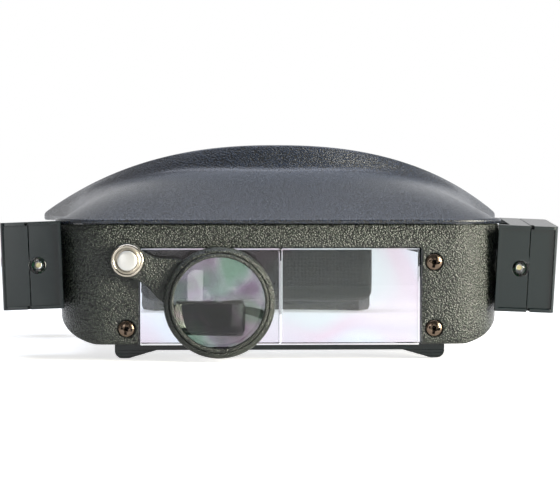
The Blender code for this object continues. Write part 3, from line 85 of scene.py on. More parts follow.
# Hood
HOOD_BOTTOM = FACE_TOP + 0.3
CREST_DEPTH = 52.0
CREST_HEIGHT = 77.4
CREST_DROP = 26.5
TIP_HALF = 95.0
TIP_DEPTH = 125.0
UPSTAND = 10.2
RIM_OVERHANG = 0.8
TAB_HALF = 7.0

# Lamps
LAMP_HALF = 81.35
LAMP_DEPTH = 18.0
LAMP_HEIGHT = 33.3
LAMP_NOD = {"left": math.radians(-1.0), "right": math.radians(5.0)}
LED_ACROSS = 4.6

# Head
HEAD_HALF = 81.0
HEAD_LONG = 98.0
HEAD_CENTRE = 160.0
HEAD_POWER = 2.5
HEAD_FALL = math.radians(9.6)
BROW_HEIGHT = 52.0
BAND_THICK = 2.4
CRADLE_MIDDLE = 18.8
PAD_THICK = 8.0
SETTLE_FRAMES = 12

SAME = 1e-6  # closer than this, in metres or as a share, counts as the same


def spot(across, depth, height):
    return Vector((across * MM, (FACE_Y + depth) * MM, height * MM))


def unit(share):
    return min(max(share, 0.0), 1.0)


# Modelling


def clear_selection():
    if bpy.context.mode != "OBJECT":
        bpy.ops.object.mode_set(mode="OBJECT")
    bpy.ops.object.select_all(action="DESELECT")


def choose(piece):
    clear_selection()
    piece.select_set(True)
    bpy.context.view_layer.objects.active = piece
    return piece


def named(name):
    piece = bpy.context.object
    piece.name = name
    piece.data.name = name
    return piece


def edit_all(kind="FACE"):
    bpy.ops.object.mode_set(mode="EDIT")
    bpy.ops.mesh.select_mode(type=kind)
    bpy.ops.mesh.select_all(action="SELECT")


def leave_edit():
    bpy.ops.object.mode_set(mode="OBJECT")


def modify(piece, kind, **settings):
    """Add a modifier and apply it."""
    choose(piece)
    modifier = piece.modifiers.new(kind.title(), kind)
    for key, value in settings.items():
        setattr(modifier, key, value)
    bpy.ops.object.modifier_apply(modifier=modifier.name)
    return piece


def combine(piece, tool, operation):
    modify(piece, "BOOLEAN", object=tool, operation=operation, solver="EXACT")
    bpy.data.objects.remove(tool)
    return piece


def smooth(piece, angle=35):
    choose(piece)
    bpy.ops.object.shade_smooth_by_angle(angle=math.radians(angle))
    return piece


def soften(piece, width, segments=3, angle=32):
    """Round the edges that are sharper than an angle, by a width in millimetres."""
    modify(
        piece, "BEVEL", width=width * MM, segments=segments, limit_method="ANGLE",
        angle_limit=math.radians(angle), use_clamp_overlap=True, harden_normals=False,
    )
    return piece


def lay(piece, place, turn=(0.0, 0.0, 0.0)):
    """Turn and place a piece, then give its place to its mesh."""
    choose(piece)
    piece.rotation_euler = turn
    piece.location = place
    bpy.ops.object.transform_apply(location=True, rotation=True, scale=True)
    return piece


ALONG_DEPTH = (math.radians(-90), 0.0, 0.0)
ALONG_ACROSS = (0.0, math.radians(90), 0.0)


def turned(name, levels, sides=96, ring=False):
    """A piece drawn up as on a lathe through (radius, height) levels. A ring closes on its first level."""
    clear_selection()
    radius, height = levels[0]
    fill = "NOTHING" if ring else "NGON"
    bpy.ops.mesh.primitive_circle_add(vertices=sides, radius=radius * MM, fill_type=fill)
    piece = lay(named(name), (0, 0, height * MM))
    edit_all("EDGE" if ring else "FACE")
    for next_radius, next_height in levels[1:] + levels[: 1 if ring else 0]:
        rise = (0, 0, (next_height - height) * MM)
        bpy.ops.mesh.extrude_region_move(TRANSFORM_OT_translate={"value": rise})
        share = next_radius / radius
        if abs(share - 1.0) > SAME:
            bpy.ops.transform.resize(value=(share, share, 1))
        radius, height = next_radius, next_height
    bpy.ops.mesh.select_all(action="SELECT")
    bpy.ops.mesh.remove_doubles(threshold=SAME)
    bpy.ops.mesh.normals_make_consistent(inside=False)
    leave_edit()
    return piece


def facing(name, levels, sides, place, ring=False):
    """A turned piece about a point (across, height) of the face; its levels count back from there."""
    return lay(turned(name, levels, sides, ring), spot(place[0], 0.0, place[1]), ALONG_DEPTH)


def swept(name, rings):
    """A bar drawn ring by ring, then shaped: each ring is a closed line of the same number of points."""
    count = len(rings[0])
    clear_selection()
    bpy.ops.mesh.primitive_circle_add(vertices=count, radius=MM, fill_type="NGON")
    piece = named(name)
    edit_all()
    for _ in rings[1:]:
        bpy.ops.mesh.extrude_region_move(TRANSFORM_OT_translate={"value": (0, 0, MM)})
    leave_edit()
    for vertex in piece.data.vertices:
        ring = round(vertex.co.z / MM)
        around = math.atan2(vertex.co.y, vertex.co.x) - math.pi / 2
        vertex.co = spot(*rings[ring][round(around / math.tau * count) % count])
    edit_all()
    bpy.ops.mesh.normals_make_consistent(inside=False)
    leave_edit()
    return piece


def plate(name, outline, low, high):
    """A flat outline of (across, height) points, drawn out along the depth."""
    clear_selection()
    count = len(outline)
    bpy.ops.mesh.primitive_circle_add(vertices=count, radius=MM, fill_type="NGON")
    piece = named(name)
    for vertex in piece.data.vertices:
        around = math.atan2(vertex.co.y, vertex.co.x) - math.pi / 2
        across, height = outline[round(around / math.tau * count) % count]
        vertex.co = spot(across, low, height)
    edit_all()
    bpy.ops.mesh.extrude_region_move(TRANSFORM_OT_translate={"value": (0, (high - low) * MM, 0)})
    bpy.ops.mesh.select_all(action="SELECT")
    bpy.ops.mesh.normals_make_consistent(inside=False)
    leave_edit()
    return piece


def brick(name, low, high):
    clear_selection()
    bpy.ops.mesh.primitive_cube_add(size=1.0)
    piece = named(name)
    piece.scale = [(b - a) * MM for a, b in zip(low, high)]
    return lay(piece, [(a + b) / 2 * MM for a, b in zip(low, high)])


def from_part(name, node, width=0.3, segments=2, angle=32, shade=35):
    """A copy of the part's solid, welded, with its sharp edges rounded."""
    piece = bpy.data.objects.new(name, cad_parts[node].data.copy())
    bpy.context.scene.collection.objects.link(piece)
    choose(piece)
    bpy.ops.mesh.customdata_custom_splitnormals_clear()
    edit_all("VERT")
    bpy.ops.mesh.remove_doubles(threshold=2e-6)
    bpy.ops.mesh.dissolve_limited(angle_limit=math.radians(1.0))
    leave_edit()
    if width:
        soften(piece, width, segments, angle)
    return even_shade(smooth(piece, shade))


def even_shade(piece):
    """Turn the normals of the rounded edges to the large faces beside them."""
    return modify(piece, "WEIGHTED_NORMAL", keep_sharp=True)


def coat(data, finish):
    data.materials.clear()
    data.materials.append(finish)


def dress(piece, body, finish, slot, *nodes):
    """Give a piece its finish and the body it rides on, and hide the solids it stands for; the slot is not
    used.
    """
    coat(piece.data, finish)
    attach(piece, body)
    if nodes:
        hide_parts(*nodes)
    return piece


def refinish(finish, *nodes):
    for node in nodes:
        coat(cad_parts[node].data, finish)


# Finishes


def linear(code):
    """A colour written in sRGB hex, as the linear values that a shader takes."""
    parts = [int(code[i : i + 2], 16) / 255 for i in (1, 3, 5)]
    return (*[p / 12.92 if p <= 0.04045 else ((p + 0.055) / 1.055) ** 2.4 for p in parts], 1.0)


def feed(owner, socket, value):
    """Give a socket a value, or a link from a node and the name of its output."""
    if isinstance(value, tuple) and isinstance(value[0], bpy.types.Node):
        owner.node_tree.links.new(value[0].outputs[value[1]], socket)
    else:
        socket.default_value = value


def add(owner, kind, attributes=(), **sockets):
    """Add a node to a material or to the world. Sockets take what feed takes."""
    node = owner.node_tree.nodes.new(kind)
    for key, value in dict(attributes).items():
        setattr(node, key, value)
    for key, value in sockets.items():
        feed(owner, node.inputs[key.replace("_", " ")], value)
    return node


def reckon(owner, operation, *values, kind="ShaderNodeMath"):
    """Add a maths node, its sockets fed in their order."""
    node = add(owner, kind, {"operation": operation})
    for socket, value in zip(node.inputs, values):
        feed(owner, socket, value)
    return node


def spread(owner, source, start, end, low=0.0, high=1.0):
    """Map the values from start to end onto low to high, level beyond them."""
    return add(
        owner, "ShaderNodeMapRange",
        Value=source, From_Min=start, From_Max=end, To_Min=low, To_Max=high,
    )


def surface(name, code, roughness, **sockets):
    material = bpy.data.materials.new(name)
    material.use_nodes = True
    shader = material.node_tree.nodes["Principled BSDF"]
    shader.inputs["Base Color"].default_value = linear(code)
    shader.inputs["Roughness"].default_value = roughness
    for key, value in sockets.items():
        shader.inputs[key.replace("_", " ")].default_value = value
    return material


def link(material, node, output, socket):
    shader = material.node_tree.nodes["Principled BSDF"]
    material.node_tree.links.new(node.outputs[output], shader.inputs[socket])


def noise(material, place, scale, detail, roughness):
    return add(
        material, "ShaderNodeTexNoise",
        Vector=(place, "Object"), Scale=scale, Detail=detail, Roughness=roughness,
    )


def bumped(material, source, depth, strength=1.0, invert=False):
    """Bump the surface by a depth in millimetres where the source is high, or low if inverted."""
    bump = add(
        material, "ShaderNodeBump", {"invert": invert},
        Strength=strength, Distance=depth * MM, Height=source,
    )
    link(material, bump, "Normal", "Normal")


def coloured(material, source, stops):
    """Colour the surface by a value. Each stop is a value and the linear colour there."""
    ramp = add(material, "ShaderNodeValToRGB", Fac=source)
    elements = ramp.color_ramp.elements
    while len(elements) < len(stops):
        elements.new(0.5)
    for k, (value, colour) in enumerate(stops):
        elements[k].position = value
        elements[k].color = colour
    link(material, ramp, "Color", "Base Color")


def leather_grain(material, cell, depth, tops, pits, gloss):
    """The pebbles that an etched mould leaves, a cell wide and a depth high, both in millimetres.

    Their tops are painted lighter as a highlight and the pits between them are painted near black as shade;
    the pits are also rougher.
    """
    pit = 0.46  # the height, counted down from the tops, at which a pit's painted shade is fully dark
    dulling = 0.25
    place = add(material, "ShaderNodeTexCoord")
    bend = noise(material, place, 0.5 / (cell * MM), 2.0, 0.5)
    shift = reckon(
        material, "MULTIPLY_ADD", (bend, "Color"), (0.9 * cell * MM,) * 3, (place, "Object"),
        kind="ShaderNodeVectorMath",
    )
    pebbles = add(
        material, "ShaderNodeTexVoronoi", {"feature": "SMOOTH_F1"},
        Vector=(shift, "Vector"), Scale=1.0 / (cell * MM), Smoothness=0.35, Randomness=1.0,
    )
    grit = noise(material, place, 2.4 / (cell * MM), 3.0, 0.6)
    height = reckon(material, "MULTIPLY_ADD", (grit, "Fac"), -0.5, (pebbles, "Distance"))
    bumped(material, (height, "Value"), depth, invert=True)
    coloured(material, (height, "Value"), [(0.0, linear(tops)), (pit, linear(pits))])
    dull = spread(material, (height, "Value"), 0.0, pit, gloss, gloss + dulling)
    link(material, dull, "Result", "Roughness")
    return material


def painted_recess_shade(material, code, reach):
    """Painted shade in the narrow places: the colour darkens to near black within a reach in millimetres.
    """
    corner = add(
        material, "ShaderNodeAmbientOcclusion", {"samples": 8, "inside": False},
        Distance=reach * MM,
    )
    coloured(material, (corner, "AO"), [(0.42, (0.004, 0.004, 0.004, 1.0)), (0.72, linear(code))])
    return material


def painted_coat_reflections(material, size, codes):
    """Patches of colour that run into each other: the coloured reflections of a lens's coats, painted into
    its colour.
    """
    place = add(material, "ShaderNodeTexCoord")
    cloud = noise(material, place, 1.0 / (size * MM), 1.0, 0.4)
    first, span = 0.36, 0.28  # most of what the noise gives lies between these
    stops = [(first + span * k / (len(codes) - 1), linear(code)) for k, code in enumerate(codes)]
    coloured(material, (cloud, "Fac"), stops)
    return material


def fine_wave(material, size, depth):
    """The faint unevenness of a polished mould."""
    place = add(material, "ShaderNodeTexCoord")
    bumped(material, (noise(material, place, 1.0 / (size * MM), 3.0, 0.55), "Fac"), depth)
    return material


def knit(material):
    """A warp knit with a stitch every 1.2 mm, coarser than real so that it shows."""
    stitch = 1.2
    place = add(material, "ShaderNodeTexCoord")
    loops = add(
        material, "ShaderNodeTexVoronoi", {"feature": "F1"},
        Vector=(place, "Object"), Scale=1.0 / (stitch * MM), Randomness=0.35,
    )
    bumped(material, (loops, "Distance"), 0.15, strength=0.7, invert=True)
    return material


# ABS from a leather-grained mould: near black with an olive cast; its pebble tops are painted lighter as
# highlights, its pits painted near black as shade
grained_abs = surface("grained_abs", "#2a2d29", 0.36, IOR=1.53)
leather_grain(grained_abs, 0.64, 0.30, "#40463f", "#040504", 0.12)
# ABS from a finely etched mould: cooler and sandy, pale where light grazes it; its grain's tops are painted
# lighter and bluer as highlights, its pits painted near black as shade
sandy_abs = surface(
    "sandy_abs", "#1f2226", 0.25, IOR=1.53, Coat_Weight=0.4, Coat_Roughness=0.22,
    Sheen_Weight=0.12, Sheen_Roughness=0.35, Sheen_Tint=linear("#c9d6f2"),
)
leather_grain(sandy_abs, 0.60, 0.18, "#1f2838", "#030405", 0.20)
# ABS from a smooth mould: satin, slate green
satin_abs = fine_wave(surface("satin_abs", "#0b1719", 0.22, IOR=1.53), 3.0, 0.015)
# Cast acrylic, polished, with a hard coat whose faint coloured reflections are painted into its colour in
# places
acrylic = surface("clear_acrylic_sheet", "#f6f8fa", 0.0, IOR=1.49, Transmission_Weight=1.0)
painted_coat_reflections(acrylic, 42.0, ("#e8ecf0", "#e7eaee", "#e9e1e7", "#e5e9ea"))
# Coated crown glass of the loupe, the coat's green and mauve reflections painted into its colour by turns
coated_glass = surface("coated_glass", "#c4cfc6", 0.0, IOR=1.52, Transmission_Weight=1.0)
painted_coat_reflections(coated_glass, 11.0, ("#8fb096", "#b4bdb5", "#9c8d9b", "#7d847c"))
# Nickel plate over brass, a little scuffed
nickel = fine_wave(surface("nickel_plate", "#c9c1b2", 0.18, Metallic=1.0), 0.9, 0.03)
# painted shade: the nickel darkens to near black in its grooves and recesses
painted_recess_shade(nickel, "#c9c1b2", 1.1)
# The same plate on the rivet's face, scuffed white by the loupe's swing
scuffed_nickel = fine_wave(surface("scuffed_nickel", "#e6e5e1", 0.42, Metallic=1.0), 0.6, 0.05)
# Black nickel with the brass showing through: brown, glossy
black_nickel = surface("black_nickel_plate", "#7a6a5c", 0.24, Metallic=1.0)
# painted shade: the screws' cross slots darkened to near black
painted_recess_shade(black_nickel, "#7a6a5c", 1.5)
# Blackened steel of the temple bolts and lamp screws
black_steel = surface("blackened_steel", "#5b5754", 0.35, Metallic=1.0)
# Bright zinc-plated spring steel and the cans of the coin cells
bright_steel = surface("bright_steel", "#c6c7c8", 0.24, Metallic=1.0)
# Polyurethane foam under a soft knitted skin
foam_skin = knit(surface("foam_skin", "#1d1d1a", 0.95, Sheen_Weight=0.12, Sheen_Roughness=0.5))
# Polypropylene strap: dull, waxy
strap_pp = fine_wave(surface("polypropylene_strap", "#232425", 0.45, IOR=1.49), 1.6, 0.02)
# Glass-fibre board under green solder mask
solder_mask = surface("solder_mask", "#1f6b43", 0.30, IOR=1.55)
# Water-clear epoxy of an LED, the cup and the phosphor inside it
clear_epoxy = surface("clear_epoxy", "#ffffff", 0.02, IOR=1.53, Transmission_Weight=1.0)
phosphor = surface("phosphor", "#fff3b8", 0.5)
# Nitrile rubber of the washers and the switch caps
nitrile = surface("nitrile_rubber", "#232323", 0.7, IOR=1.5)


# Visor wall


def arc(centre, radius, start, end, steps):
    for i in range(steps + 1):
        angle = math.radians(start + (end - start) * i / steps)
        yield centre[0] + radius * math.cos(angle), centre[1] + radius * math.sin(angle)


def flare(depth):
    end = TEMPLE[0] - TEMPLE_RADIUS
    return unit((depth - FLARE_START) / (end - FLARE_START)) ** FLARE_POWER


def wall_plan(inset):
    """Half the wall seen from above, from the middle of the face to behind the temple."""
    side = FACE_FLAT + CORNER
    flat_steps, steps = 12, 24
    line = [(FACE_FLAT * i / flat_steps, inset) for i in range(flat_steps)]
    line += arc((FACE_FLAT, CORNER), CORNER - inset, -90, 0, steps)
    line += [(side - inset, depth) for depth in (23.0, 26.0, 30.0, 34.0, 38.0, 41.0)]
    for i in range(steps + 1):
        depth = FLARE_START + (TEMPLE[0] - TEMPLE_RADIUS - FLARE_START) * i / steps
        line.append((side + (CHEEK_HALF - side) * flare(depth) - inset, depth))
    short = 0.02  # keeps the last ring from closing to a line
    for i in range(1, steps + 1):
        turn = math.pi / 2 * i / steps
        depth = TEMPLE[0] - TEMPLE_RADIUS + 2 * TEMPLE_RADIUS * math.sin(turn)
        line.append((CHEEK_HALF - inset, depth - short))
    return line


def wall_reach(depth):
    """Lower and upper edge of the wall at a depth."""
    back = depth - TEMPLE[0]
    disc = math.sqrt(max(TEMPLE_RADIUS**2 - back**2, 0.0)) if abs(back) < TEMPLE_RADIUS else 0.0
    rise = unit((depth - CLIMB_START) / CLIMB_RUN)
    low = FACE_BOTTOM + (CHEEK_BOTTOM - FACE_BOTTOM) * rise
    high = HOOD_BOTTOM - 0.03
    if back > -10.0:
        low = TEMPLE[1] - disc
    if back > -2.0:
        slope = FACE_TOP - (back + 2.0) * CHEEK_FALL
        high = min(slope, TEMPLE[1] + disc) if back > 5.6 else slope
    return low, high


def wall_ring(outer, inner):
    """A section of the wall: up its outer face, over and down its inner face, the outer edges rounded."""
    low, high = wall_reach(outer[1])
    edge = min(EDGE_ROUND, (high - low) * 0.2)
    steps = 6
    tall = [(0.0, low + edge + (high - low - 2 * edge) * i / steps) for i in range(steps + 1)]
    back = [(1.0, low + (high - low) * (steps - i) / steps) for i in range(steps + 1)]
    levels = tall + [(0.12, high - edge * 0.3), (0.35, high)]
    levels += back + [(0.35, low), (0.12, low + edge * 0.3)]
    ring = []
    for share, height in levels:
        across = outer[0] + (inner[0] - outer[0]) * share
        depth = outer[1] + (inner[1] - outer[1]) * share
        weight = unit((outer[0] - FACE_FLAT) / CORNER) * (1.0 - flare(depth))
        ring.append((across - weight * (FACE_TOP - height) * math.tan(DRAFT), depth, height))
    return ring


def at_lamp(piece, side, nod=0.0):
    """Move a piece from a lamp's own measures (outward, back, up) to its place on the visor."""
    choose(piece)
    if side < 0:
        piece.scale = (-1, 1, 1)
        bpy.ops.object.transform_apply(location=False, rotation=False, scale=True)
        edit_all()
        bpy.ops.mesh.normals_make_consistent(inside=False)
        leave_edit()
    roll = Matrix.Rotation(side * DRAFT, 4, "Y") @ Matrix.Rotation(nod, 4, "X")
    piece.data.transform(roll)
    return lay(piece, spot(side * LAMP_HALF, LAMP_DEPTH, LAMP_HEIGHT))


def visor_wall():
    outer = wall_plan(0.0)
    inner = wall_plan(WALL)
    right = [wall_ring(a, b) for a, b in zip(outer, inner)]
    left = [[(-x, d, z) for x, d, z in ring] for ring in reversed(right[1:])]
    wall = swept("visor_wall", left + right)
    corner = 0.6
    window = [(-WINDOW_HALF, 0.0), (WINDOW_HALF, 0.0)]
    window += arc((WINDOW_HALF - corner, WINDOW_TOP - corner), corner, 0, 90, 6)
    window += arc((corner - WINDOW_HALF, WINDOW_TOP - corner), corner, 90, 180, 6)
    combine(wall, plate("window", window, -3.0, 6.0), "DIFFERENCE")
    seat = [(3.7, -1.0), (3.35, 0.05), (3.3, 0.9), (1.5, 0.9), (1.5, 5.0)]
    for place in SCREW_SPOTS.values():
        combine(wall, facing("seat", seat, 48, place), "DIFFERENCE")
    for _, side in SIDES:
        boss = lay(turned("boss", [(6.5, -5.6), (6.5, -1.35), (6.2, -1.15)], 64), (0, 0, 0), ALONG_ACROSS)
        combine(wall, at_lamp(boss, side), "UNION")
        hole = lay(turned("bore", [(2.8, 80.0), (2.8, 92.0)], 48), spot(0, *TEMPLE), ALONG_ACROSS)
        if side < 0:  # half a turn about the upright through the middle, at the temples' depth
            hole.data.transform(Matrix.Rotation(math.pi, 4, "Z"))
            bpy.context.view_layer.update()
            hole.data.transform(Matrix.Translation((0, 2 * (FACE_Y + TEMPLE[0]) * MM, 0)))
        combine(wall, hole, "DIFFERENCE")
    soften(wall, 0.25, 2, 50)
    return dress(smooth(wall, 40), "visor", grained_abs, "moulded", "front_frame")


# Hood


def even_line(points, count):
    lengths = [0.0]
    for a, b in zip(points, points[1:]):
        lengths.append(lengths[-1] + math.dist(a, b))
    even = []
    for i in range(count + 1):
        want = lengths[-1] * i / count
        k = max(j for j in range(len(lengths) - 1) if lengths[j] <= want)
        share = (want - lengths[k]) / (lengths[k + 1] - lengths[k])
        even.append(tuple(a + (b - a) * share for a, b in zip(points[k], points[k + 1])))
    return even


def rim_line():
    """The foot of the hood's slope seen from above, from the middle of the face to the tip."""
    steps = 40
    side = FACE_FLAT + CORNER + RIM_OVERHANG
    line = [(0.0, -RIM_OVERHANG)]
    line += arc((FACE_FLAT, CORNER), CORNER + RIM_OVERHANG, -90, 0, steps)
    for i in range(steps + 1):
        share = i / steps
        depth = FLARE_START + (TIP_DEPTH - 2.0 - FLARE_START) * share
        line.append((side + (TIP_HALF - 0.6 - side) * share**FLARE_POWER, depth))
    return line


def hood_ring(rim, share):
    """A section from the rim up the slope and the upstand to the crest, then back down inside."""
    crest = (
        TIP_HALF * share,
        CREST_DEPTH + (TIP_DEPTH - CREST_DEPTH) * share**FLARE_POWER,
        CREST_HEIGHT - CREST_DROP * share**2.3,
    )
    run, turn = crest[0] - rim[0], crest[1] - rim[1]
    reach = math.hypot(run, turn)
    rise = crest[2] - HOOD_BOTTOM
    wide, tall = min(1.0, reach / 7.0), min(1.0, rise / 3.5)
    step = max(UPSTAND * (1.0 - share**1.6), 0.12 * rise)
    foot_u, foot_w = reach - min(4.0, 0.25 * reach), rise - step
    lip = [(0.2, 0.0), (-0.2, 0.35), (-0.4, 0.9), (-0.25, 1.5)]
    lip += [(0.25, 1.95), (0.9, 2.05), (1.5, 1.75), (2.0, 1.3)]
    outer = [(u * wide, w * tall) for u, w in lip]
    start_u, start_w = 2.8 * wide, 1.7 * tall
    crown = 1.6 * min(1.0, (foot_u - start_u) / 30.0)
    for f in (0.0, 0.08, 0.2, 0.34, 0.48, 0.62, 0.76, 0.88, 0.95):
        lift = crown * 4.0 * f * (1.0 - f)
        outer.append((start_u + (foot_u - start_u) * f, start_w + (foot_w - start_w) * f + lift))
    climb, away = rise - foot_w, reach - foot_u
    outer += [(foot_u + away * f, foot_w + climb * g) for f, g in ((0.04, 0.06), (0.3, 0.32), (0.62, 0.66))]
    outer += [(reach - 0.3 * wide, rise - 0.8 * tall), (reach, rise - 0.2 * tall)]
    outer += [(reach + 0.5 * wide, rise)]
    inner = [(reach + 1.7 * wide, rise - 0.1 * tall), (reach + WALL, rise - 0.7 * tall)]
    inner += [(foot_u + WALL, foot_w - 0.75 * WALL * tall)]
    low = max(1.9 * tall - WALL, 0.0)
    for f in (0.85, 0.7, 0.55, 0.4, 0.25, 0.1):
        lift = crown * 4.0 * f * (1.0 - f)
        level = low + (foot_w - 2.0 - low) * f * tall + lift
        inner.append((start_u + WALL + (foot_u - start_u) * f, level))
    inner.append((WALL + 1.0, 0.0))
    ex, ed = run / reach, turn / reach
    return [(rim[0] + ex * u, rim[1] + ed * u, HOOD_BOTTOM + w) for u, w in outer + inner]


def hood():
    stations = 60
    rims = even_line(rim_line(), stations)
    right = [hood_ring(rim, i / stations) for i, rim in enumerate(rims)]
    left = [[(-x, d, z) for x, d, z in ring] for ring in reversed(right[1:])]
    shell = swept("hood", left + right)
    modify(shell, "SUBSURF", levels=1, render_levels=1)
    for across in (-FACE_FLAT / 2, FACE_FLAT / 2):
        low = (across - TAB_HALF, FACE_Y + 2.5, HOOD_BOTTOM - 3.3)
        high = (across + TAB_HALF, FACE_Y + 4.1, HOOD_BOTTOM + 1.5)
        tab = soften(brick("tab", low, high), 0.4, 2)
        choose(shell)
        tab.select_set(True)
        bpy.ops.object.join()
    return dress(smooth(shell, 60), "visor", sandy_abs, "moulded", "hood_shell")


# Lenses


def crowned_half(name, low, high, front, back, side):
    """Half of a prismatic plate: both faces are domes about one point at the seam, the rim is chamfered.

    Each face is given by its depth at that point and by how much deeper it is at the outer corner.
    """
    clear_selection()
    bpy.ops.mesh.primitive_grid_add(x_subdivisions=40, y_subdivisions=30, size=1.0)
    piece = named(name)
    edit_all()
    bpy.ops.mesh.extrude_region_move(TRANSFORM_OT_translate={"value": (0, 0, 1.0)})
    leave_edit()
    corner = math.hypot(high[0], high[1] - LENS_PEAK)
    for vertex in piece.data.vertices:
        across = low[0] + (high[0] - low[0]) * (vertex.co.x + 0.5)
        height = low[1] + (high[1] - low[1]) * (vertex.co.y + 0.5)
        away = (math.hypot(across, height - LENS_PEAK) / corner) ** 2
        top, fall = front if vertex.co.z < 0.5 else back
        vertex.co = spot(side * across, top + fall * away, height)
    edit_all()
    bpy.ops.mesh.normals_make_consistent(inside=False)
    leave_edit()
    soften(piece, 0.7, 1, 50)
    return smooth(piece, 20)


def lens_plates():
    for name, side in SIDES:
        front, back = (0.85, 2.3), (4.65, -1.0)
        half = crowned_half(f"lens_half_{name}", (0.35, 5.7), (49.7, 39.4), front, back, side)
        dress(half, "visor", acrylic, "clear_acrylic", "main_lens")
        front, back = (8.35, 1.6), (11.1, -0.7)
        half = crowned_half(f"flip_lens_half_{name}", (0.2, 5.0), (49.5, 38.8), front, back, side)
        dress(half, "flip", acrylic, "clear_acrylic", "flip_lens")


def loupe():
    """The arm is an outline drawn from the rivet towards the ring, the ring a turned profile."""
    back, front = -1.2, -3.8
    dx, dz = RING[0] - RIVET[0], RING[1] - RIVET[1]
    length = math.hypot(dx, dz)
    ux, uz = dx / length, dz / length
    root = length - math.sqrt(19.1**2 - 8.5**2)
    count = 20

    def edge(share, sign):
        swell = ARM_SWELL * share**2.2
        waist = ARM_WAIST * math.sin(math.pi * min(share * 1.25, 1.0))
        return root * share, sign * (ARM_HALF + swell - waist)

    upper = [edge(i / count, 1) for i in range(count + 1)]
    lower = [edge(i / count, -1) for i in range(count + 1)]
    inside = [(root + 4.0, -7.5), (root + 4.0, 7.5)]
    outline = list(reversed(upper[1:])) + list(arc((0.0, 0.0), ARM_HALF, 90, 270, 36)) + lower[1:] + inside
    outline = [(RIVET[0] + ux * a - uz * b, RIVET[1] + uz * a + ux * b) for a, b in outline]
    arm = soften(plate("loupe_mount", outline, front, back), 0.7, 3, 40)
    combine(arm, facing("boss", [(6.0, -1.6), (6.0, -0.35)], 64, RIVET), "UNION")
    combine(arm, facing("bore", [(RING_BORE, -12.0), (RING_BORE, 3.0)], 96, RING), "DIFFERENCE")
    levels = [(19.3, back), (19.55, -1.5), (19.6, -2.2), (19.6, -4.6), (19.5, -5.4), (19.2, -6.1)]
    levels += [(18.7, -6.7), (18.2, -7.0), (17.8, -7.1), (17.55, -7.0), (17.45, -6.8), (17.35, -7.6)]
    levels += [(17.2, -8.0), (16.9, -8.2), (16.4, -8.2), (16.1, -8.05), (16.0, -7.8), (16.0, -5.9)]
    levels += [(17.5, -5.8), (17.5, back)]
    combine(arm, facing("ring", levels, 128, RING, ring=True), "UNION")
    combine(arm, facing("hole", [(RIVET_BORE, -6.0), (RIVET_BORE, 1.0)], 32, RIVET), "DIFFERENCE")
    dress(smooth(arm, 38), "loupe", grained_abs, "moulded", "loupe_arm")
    rim_front, rim_back, steps = -5.5, -2.8, 10
    bulge_front, bulge_back = 2.4, 1.6
    radii = [GLASS_RADIUS * math.sin(math.pi / 2 * (i + 0.02) / steps) for i in range(steps)]
    levels = [(r, rim_front - bulge_front * (1 - (r / GLASS_RADIUS) ** 2)) for r in radii]
    levels += [(GLASS_RADIUS, rim_front), (GLASS_RIM, rim_front)]
    levels += [(GLASS_RIM, rim_back), (GLASS_RADIUS, rim_back)]
    levels += [(r, rim_back + bulge_back * (1 - (r / GLASS_RADIUS) ** 2)) for r in reversed(radii)]
    lens = facing("loupe_glass", levels, 96, RING)
    dress(smooth(lens, 25), "loupe", coated_glass, "clear_acrylic", "loupe_lens")


# Fasteners


def dome(radius, top, height, steps=7):
    """Levels from the top of a shallow dome down to its rim, along the depth."""
    smallest = 0.04
    turns = [math.pi / 2 * i / steps for i in range(steps + 1)]
    return [(max(radius * math.sin(turn), smallest), top + height * (1 - math.cos(turn))) for turn in turns]


def face_screws():
    for name, (across, height) in SCREW_SPOTS.items():
        levels = dome(2.95, -0.85, 1.15) + [(2.95, 0.6), (1.2, 0.6), (1.2, 6.6), (0.4, 7.2)]
        screw = turned("screw", levels, 48)
        for turn in (12, 102):
            slot = brick("slot", (-2.05, -0.5, -1.8), (2.05, 0.5, 0.4))
            slot.data.transform(Matrix.Rotation(math.radians(turn), 4, "Z"))
            combine(screw, slot, "DIFFERENCE")
        pit = turned("pit", [(1.3, -1.6), (1.0, -0.3), (0.5, 1.6)], 24)
        combine(screw, pit, "DIFFERENCE")
        soften(screw, 0.08, 2, 35)
        screw.name = f"face_screw_{name}"
        lay(screw, spot(across, 0.0, height), ALONG_DEPTH)
        dress(smooth(screw, 30), "visor", black_nickel, "dark_metal", f"frame_screw_{name}")


def loupe_rivet():
    face = -4.1  # the front of the arm, where the cup lies
    cup = [(RIVET_BORE, face), (5.4, face), (5.7, face - 0.2), (5.8, face - 0.7)]
    cup += [(5.7, face - 1.2), (5.4, face - 1.5), (5.0, face - 1.55), (4.6, face - 1.35)]
    cup += [(4.25, face - 1.0), (4.0, face - 0.9), (RIVET_BORE, face - 0.9)]
    washer = facing("cup_washer", cup, 96, RIVET, ring=True)
    dress(smooth(washer, 40), "visor", nickel, "bright_metal", "loupe_cup_washer")
    head = face - 1.2
    levels = dome(3.45, head - 1.3, 0.5, 9) + [(3.5, head - 0.6), (3.45, head)]
    levels += [(1.5, head), (1.5, 6.9), (1.2, 7.0)]
    rivet = facing("rivet_head", levels, 96, RIVET)
    dress(smooth(rivet, 40), "visor", scuffed_nickel, "bright_metal", "loupe_rivet")


# Lamps


